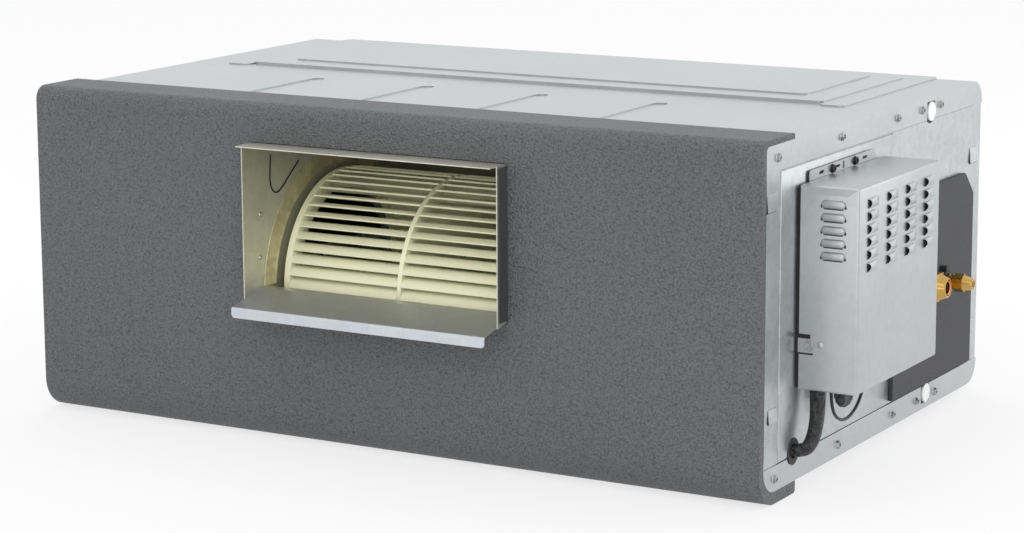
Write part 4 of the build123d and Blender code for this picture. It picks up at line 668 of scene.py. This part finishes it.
# Pipe connections: brass unions and flare nuts turned from hexagon bar, closed with copper discs, and a black
# clip that holds the pipe in its hole.
brass = finish_of("brass", turned, metallic=1.0, Tint=(0.54, 0.34, 0.1), Tarnish=0.25, Gloss=0.22, Lines=0.08)
copper = finish_of("copper", turned, metallic=1.0, Tint=(0.78, 0.36, 0.2), Tarnish=0.5, Gloss=0.28, Lines=0.0)
for node in ("gas_union", "gas_flare_nut", "liquid_union", "liquid_flare_nut"):
    refined(node, brass, soften=0.0003)
refined("pipe_seals", copper)
pipe_ends = bmesh.new()
for nut, seal_face, wall in (("gas_flare_nut", 0.0146, 0.0013), ("liquid_flare_nut", 0.0261, 0.0008)):
    nut_low, nut_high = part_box(nut)
    nut_y, nut_z = (nut_low[1] + nut_high[1]) / 2, (nut_low[2] + nut_high[2]) / 2
    stub_radius = 0.0079 if nut == "gas_flare_nut" else 0.0031
    section = [
        pipe_ends.verts.new((x, nut_y, nut_z + r))
        for x, r in (
            (right + seal_face, stub_radius),
            (nut_high[0] - 0.0012, stub_radius),
            (nut_high[0] - 0.0006, stub_radius - wall / 2),
            (nut_high[0] - 0.0012, stub_radius - wall),
            (right + seal_face, stub_radius - wall),
        )
    ]
    rim_edges = [pipe_ends.edges.new(pair) for pair in zip(section, section[1:] + section[:1])]
    bmesh.ops.spin(
        pipe_ends, geom=rim_edges, cent=(right, nut_y, nut_z), axis=(1, 0, 0), angle=2 * math.pi, steps=40, use_merge=True
    )
bmesh.ops.remove_doubles(pipe_ends, verts=pipe_ends.verts, dist=0.00001)
bmesh.ops.recalc_face_normals(pipe_ends, faces=pipe_ends.faces)
new_piece("pipe_ends", pipe_ends, copper, "casing", slot="copper")

sleeve_group, given, result = new_group(
    "wrinkled_sleeve",
    {"Tint": (0.02, 0.02, 0.02, 1.0), "Folds": 110.0, "Depth": 0.8, "Gloss": 0.35},
    {"Color": "Color", "Roughness": "Float", "Normal": "Vector"},
)
place = object_place(sleeve_group)
folds = add_node(sleeve_group, "TexNoise", Vector=place, Scale=given["Folds"], Detail=2.0, Distortion=1.2)["Fac"]
dust = add_node(sleeve_group, "TexNoise", Vector=place, Scale=35.0, Detail=5.0)["Fac"]
feed(sleeve_group, result["Color"], shaded(sleeve_group, given["Tint"], add_math(sleeve_group, "ADD", 0.5, dust)))
feed(
    sleeve_group,
    result["Roughness"],
    add_math(sleeve_group, "ADD", given["Gloss"], add_math(sleeve_group, "MULTIPLY", dust, 0.2), clamp=True),
)
sleeve_bump = add_node(sleeve_group, "Bump", Height=folds, Strength=given["Depth"], Distance=0.006)
feed(sleeve_group, result["Normal"], sleeve_bump["Normal"])
rubber = finish_of("rubber", sleeve_group, Tint=(0.022, 0.022, 0.022), Folds=30.0, Depth=0.1, Gloss=0.5)
tape = finish_of("tape", sleeve_group, Tint=(0.016, 0.016, 0.016), Folds=120.0, Depth=0.9, Gloss=0.22)
cable_sheath = finish_of("cable_sheath", sleeve_group, Tint=(0.015, 0.015, 0.015), Folds=20.0, Depth=0.1, Gloss=0.3)

union_low, union_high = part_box("liquid_union")
pipe_y, pipe_z = (union_low[1] + union_high[1]) / 2, (union_low[2] + union_high[2]) / 2
clip = bmesh.new()
section = [
    clip.verts.new((right + x, pipe_y, pipe_z + r))
    for x, r in ((0.0030, 0.0088), (0.0115, 0.0088), (0.0115, 0.0122), (0.0030, 0.0122))
]
for start, end in zip(section, section[1:] + section[:1]):
    clip.edges.new((start, end))
bmesh.ops.spin(
    clip, geom=clip.edges[:], cent=(right, pipe_y, pipe_z), axis=(1, 0, 0), angle=2 * math.pi, steps=32, use_merge=True
)
bmesh.ops.remove_doubles(clip, verts=clip.verts, dist=0.00001)
bmesh.ops.recalc_face_normals(clip, faces=clip.faces)
slab(clip, (right + 0.0030, pipe_y - 0.004, pipe_z + 0.0115), (right + 0.0115, pipe_y + 0.002, pipe_z + 0.0165))
new_piece("pipe_clip", clip, rubber, "casing", slot="black_rubber")

# Drain plugs: soft white plastic, pressed in the spouts inside a black sealing ring.
white_plastic = finish_of("white_plastic", moulded, Tint=(0.86, 0.87, 0.86), Stain=0.06, Gloss=0.45, Grain=0.1)
refined("lower_drain_plug", white_plastic, body="lower_plug")
refined("upper_drain_plug", white_plastic, body="upper_plug")
seals = bmesh.new()
for plug in ("lower_drain_plug", "upper_drain_plug"):
    plug_low, plug_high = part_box(plug)
    ring = Matrix.Translation((right - 0.0006, (plug_low[1] + plug_high[1]) / 2, (plug_low[2] + plug_high[2]) / 2))
    for radius in (0.01012, 0.0124):
        bmesh.ops.create_circle(seals, segments=40, radius=radius, matrix=ring @ Matrix.Rotation(math.pi / 2, 4, "Y"))
rims = [e for e in seals.edges]
for plug_rims in (rims[:80], rims[80:]):
    bmesh.ops.bridge_loops(seals, edges=plug_rims)
bmesh.ops.recalc_face_normals(seals, faces=seals.faces)
bmesh.ops.solidify(seals, geom=seals.faces[:], thickness=0.0008)
new_piece("plug_seals", seals, rubber, "casing", slot="black_rubber")

# Cables under the box: a harness wound with black tape that enters the casing through a rubber grommet, a thin
# loop of wire, and a connector wrapped in the same tape.
refined("cable_grommet", rubber, soften=0.0006)


def cable_curve(name, points, radius, material, thickness=None):
    """A smooth cable along its route's control points."""
    data = bpy.data.curves.new(name, "CURVE")
    data.dimensions = "3D"
    data.bevel_depth = radius
    data.bevel_resolution = 5
    data.resolution_u = 16
    data.use_fill_caps = True
    run = data.splines.new("NURBS")
    run.points.add(len(points) - 1)
    for index, point in enumerate(points):
        run.points[index].co = (*point, 1.0)
        run.points[index].radius = thickness[index] if thickness else 1.0
    run.order_u = 3
    run.use_endpoint_u = True
    data.materials.append(material)
    cable = bpy.data.objects.new(name, data)
    scene.collection.objects.link(cable)
    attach(cable, "casing")
    return cable


harness_route = (
    (0.4340, -0.1845, 0.1160),
    (0.4340, -0.1840, 0.0900),
    (0.4345, -0.1865, 0.0680),
    (0.4340, -0.1955, 0.0500),
    (0.4295, -0.2065, 0.0420),
    (0.4030, -0.2065, 0.0420),
)
harness = cable_curve("harness_cord", harness_route, 0.007, tape, thickness=(1.15, 1.1, 1.0, 1.0, 0.92, 0.9))
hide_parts("harness")
wire_route = (
    (0.4350, -0.1555, 0.1080),
    (0.4350, -0.1555, 0.0880),
    (0.4350, -0.1505, 0.0700),
    (0.4350, -0.1365, 0.0590),
    (0.4350, -0.1165, 0.0550),
    (0.4350, -0.0945, 0.0610),
    (0.4350, -0.0795, 0.0740),
    (0.4350, -0.0735, 0.0900),
    (0.4350, -0.0735, 0.1080),
)
wire = cable_curve("wire_loop_cord", wire_route, 0.0016, cable_sheath)
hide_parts("wire_loop")

bundle = bmesh.new()
bundle_low, bundle_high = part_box("cable_plug")
bundle_size = [(end - start) / 2 for start, end in zip(bundle_low, bundle_high)]
bundle_centre = Vector([(end + start) / 2 for start, end in zip(bundle_low, bundle_high)])
bmesh.ops.create_icosphere(bundle, subdivisions=5, radius=1.0)
bmesh.ops.scale(bundle, vec=bundle_size, verts=bundle.verts)
bmesh.ops.translate(bundle, vec=bundle_centre, verts=bundle.verts)
bundle_piece = new_piece("cable_plug_piece", bundle, tape, "casing", "cable_plug", smooth=80.0)
crumple = bpy.data.textures.new("crumple", "CLOUDS")
crumple.noise_scale = 0.008
wrinkle = bundle_piece.modifiers.new("wrinkles", "DISPLACE")
wrinkle.texture = crumple
wrinkle.texture_coords = "LOCAL"
wrinkle.strength = 0.005
wrinkle.mid_level = 0.6

# What the box holds: a green control board with its components, a terminal block and the fan's capacitor.
board_green = finish_of("board_green", moulded, Tint=(0.03, 0.2, 0.07), Stain=0.4, Gloss=0.35, Grain=0.3)
component_black = finish_of("component_black", moulded, Tint=(0.03, 0.03, 0.03), Stain=0.3, Gloss=0.4, Grain=0.3)
board = refined("control_board", board_green, soften=0.0004)
board.data.materials.append(component_black)
component_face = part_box("control_board")[0][0] + 0.010 + 0.0018
for face in board.data.polygons:
    if face.center.x > component_face:
        face.material_index = 1
terminal_cream = finish_of("terminal_cream", moulded, Tint=(0.7, 0.68, 0.6), Stain=0.15, Gloss=0.45, Grain=0.2)
refined("terminal_block", terminal_cream, soften=0.0004)
refined("fan_capacitor", component_black)
terminals = bmesh.new()
terminal_low, terminal_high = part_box("terminal_block")
for step in range(5):
    screw_y = terminal_low[1] + (step + 0.5) * (terminal_high[1] - terminal_low[1]) / 5
    screw_place = (terminal_high[0] - 0.0065, screw_y, (terminal_low[2] + terminal_high[2]) / 2)
    stamp(terminals, casing_head, screw_place, (1, 0, 0), spin=0.5 * step)
new_piece("terminal_screws", terminals, bright_steel, "casing", slot="screw_steel")

# Inner lining: a black foam sheet glued inside the left panel against drumming and sweat.
lining = bmesh.new()
slab(lining, (left + 0.0022, front + 0.030, base + 0.0030), (left + 0.0070, back - 0.045, roof - 0.0050))
lining_edges = [e for e in lining.edges]
bmesh.ops.bevel(lining, geom=lining_edges, offset=0.0015, affect="EDGES", segments=2, profile=0.5, material=-1)
new_piece("inner_lining", lining, pad_foam, "casing", slot="foam")

# Shaft bearing, its rubber cushion and the strap across the left inlet that carries them.
bronze = finish_of("bronze", turned, metallic=1.0, Tint=(0.42, 0.27, 0.13), Tarnish=0.5, Gloss=0.35, Lines=0.4)
refined("shaft_bearing", bronze)
refined("bearing_cushion", rubber)
refined("bearing_strap", plate_zinc, soften=0.0003)

# Fan motor: a painted steel shell on rubber mounts, bolted to a bent bracket.
motor_paint = finish_of("motor_paint", moulded, metallic=0.3, Tint=(0.11, 0.115, 0.12), Stain=0.3, Gloss=0.42, Grain=0.4)
refined("fan_motor", motor_paint)
refined("motor_mounts", rubber, soften=0.0006)
refined("motor_bracket", plate_zinc, soften=0.0004)
refined("motor_bolts", bright_steel, soften=0.0004)

# Coil: thin aluminium fins on copper hairpin tubes between two galvanised end plates, leaning back over the
# lower drain pan. Each fin is a plate of its own.
fin_aluminium = finish_of("fin_aluminium", turned, metallic=1.0, Tint=(0.7, 0.72, 0.74), Tarnish=0.25, Gloss=0.4, Lines=0.0)
fins_low, fins_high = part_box("coil_fins")
fins_centre = Vector([(start + end) / 2 for start, end in zip(fins_low, fins_high)])
coil_tilt = math.radians(28)
coil_turn = Matrix.Translation(fins_centre) @ Matrix.Rotation(-coil_tilt, 4, "X")
fin_pitch = 0.0022
fin_count = int((fins_high[0] - fins_low[0]) / fin_pitch)
fins = bmesh.new()
for step in range(fin_count + 1):
    fin_x = fins_low[0] + step * fin_pitch - fins_centre.x
    slab(fins, (fin_x, -0.0275, -0.127), (fin_x + 0.0004, 0.0275, 0.127))
bmesh.ops.transform(fins, matrix=coil_turn, verts=fins.verts)
new_piece("coil_fin_plates", fins, fin_aluminium, "casing", "coil_fins")
refined("coil_end_plates", plate_zinc)
for node in ("coil_tubes", "gas_header", "liquid_header", "gas_line", "liquid_line"):
    refined(node, copper, smooth=45.0)

# Drain pans: moulded foam plastic, one under the coil and the same one over it.
pan_plastic = finish_of("pan_plastic", moulded, Tint=(0.62, 0.63, 0.63), Stain=0.12, Gloss=0.6, Grain=0.4)
for node in ("lower_drain_pan", "upper_drain_pan"):
    refined(node, pan_plastic, soften=0.0008)

# Return filter: a black plastic frame with bars and a nylon mesh of crossed threads, slid in from behind.
black_plastic = finish_of("black_plastic", moulded, Tint=(0.03, 0.03, 0.032), Stain=0.2, Gloss=0.42, Grain=0.4)
refined("filter_frame", black_plastic, body="filter", soften=0.0005)
mesh_low, mesh_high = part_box("filter_mesh")
threads = bmesh.new()
thread, thread_gap = 0.0005, 0.0026
layer_y = (mesh_low[1] + mesh_high[1]) / 2
for step in range(int((mesh_high[0] - mesh_low[0]) / thread_gap)):
    thread_x = mesh_low[0] + step * thread_gap
    slab(threads, (thread_x, layer_y - thread, mesh_low[2]), (thread_x + thread, layer_y, mesh_high[2]))
for step in range(int((mesh_high[2] - mesh_low[2]) / thread_gap)):
    thread_z = mesh_low[2] + step * thread_gap
    slab(threads, (mesh_low[0], layer_y, thread_z), (mesh_high[0], layer_y + thread, thread_z + thread))
new_piece("filter_threads", threads, black_plastic, "filter", "filter_mesh")

# Studio: a pale floor, a white room and large soft lamps, seen from the photograph's place.
floor_shape = bmesh.new()
bmesh.ops.create_grid(floor_shape, x_segments=1, y_segments=1, size=30.0)
floor_mesh = bpy.data.meshes.new("floor")
floor_shape.to_mesh(floor_mesh)
floor_shape.free()
floor_paint = bpy.data.materials.new("floor_paint")
floor_paint.use_nodes = True
floor_tree = floor_paint.node_tree
floor_shader = floor_tree.nodes["Principled BSDF"]
floor_shader.inputs["Base Color"].default_value = (0.9, 0.9, 0.9, 1.0)
floor_shader.inputs["Roughness"].default_value = 0.9


def seen_directly(tree):
    """One where a camera, mirror or glass ray looks, and zero for all other light."""
    path = tree.nodes.new("ShaderNodeLightPath").outputs
    mirrored = add_math(tree, "MAXIMUM", path["Is Camera Ray"], path["Is Glossy Ray"])
    return add_math(tree, "MAXIMUM", mirrored, path["Is Transmission Ray"])


paper = floor_tree.nodes.new("ShaderNodeEmission")
paper_share = add_math(floor_tree, "MULTIPLY", seen_directly(floor_tree), 0.72)
floor_blend = floor_tree.nodes.new("ShaderNodeMixShader")
for index, output in ((0, paper_share), (1, floor_shader.outputs[0]), (2, paper.outputs[0])):
    floor_tree.links.new(output, floor_blend.inputs[index])
floor_tree.links.new(floor_blend.outputs[0], floor_tree.nodes["Material Output"].inputs["Surface"])
floor_mesh.materials.append(floor_paint)
floor = bpy.data.objects.new("floor", floor_mesh)
scene.collection.objects.link(floor)

room = bpy.data.worlds.new("room")
room.use_nodes = True
room.node_tree.nodes["Background"].inputs["Color"].default_value = (1, 1, 1, 1)
room_light = room.node_tree.nodes["Background"]
room_light.inputs["Strength"].default_value = 0.95
backdrop = room.node_tree.nodes.new("ShaderNodeBackground")
backdrop.inputs["Color"].default_value = (1, 1, 1, 1)
room_blend = room.node_tree.nodes.new("ShaderNodeMixShader")
for index, output in ((0, seen_directly(room.node_tree)), (1, room_light.outputs[0]), (2, backdrop.outputs[0])):
    room.node_tree.links.new(output, room_blend.inputs[index])
room.node_tree.links.new(room_blend.outputs[0], room.node_tree.nodes["World Output"].inputs["Surface"])
scene.world = room
scene.view_settings.view_transform = "Standard"


def add_lamp(name, place, target, size, power):
    """A rectangular soft lamp that faces its target."""
    data = bpy.data.lights.new(name, "AREA")
    data.shape = "RECTANGLE"
    data.size, data.size_y = size
    data.energy = power
    light = bpy.data.objects.new(name, data)
    scene.collection.objects.link(light)
    aim = (Vector(place) - Vector(target)).to_track_quat("Z", "Y").to_matrix().to_4x4()
    light.matrix_world = Matrix.Translation(place) @ aim


add_lamp("front_lamp", (1.1, -3.0, 2.3), (0.0, -0.2, 0.2), (2.6, 1.4), 15)
add_lamp("low_lamp", (1.0, -2.9, 0.15), (0.0, -0.2, 0.2), (3.0, 0.5), 8)
add_lamp("top_lamp", (-0.8, 0.6, 3.0), (0.0, 0.0, 0.3), (2.4, 1.6), 12)
add_lamp("side_lamp", (2.4, 1.7, 0.9), (0.5, 0.0, 0.2), (2.8, 1.8), 16)

camera_azimuth, camera_elevation, camera_roll = (math.radians(angle) for angle in (29.93, 10.574, -0.276))
away = Vector(
    (
        math.sin(camera_azimuth) * math.cos(camera_elevation),
        -math.cos(camera_azimuth) * math.cos(camera_elevation),
        math.sin(camera_elevation),
    )
)
camera_data = bpy.data.cameras.new("camera")
camera_data.lens = 102.59
camera_data.sensor_width = 36.0
camera_data.shift_x = 0.0021
camera_data.shift_y = -0.0277
camera_data.clip_end = 50.0
camera = bpy.data.objects.new("camera", camera_data)
scene.collection.objects.link(camera)
camera_turn = away.to_track_quat("Z", "Y") @ Quaternion((0, 0, 1), camera_roll)
camera.matrix_world = Matrix.Translation(Vector((0.1484, -0.2725, 0.2342)) + away * 2.8085) @ camera_turn.to_matrix().to_4x4()
scene.camera = camera
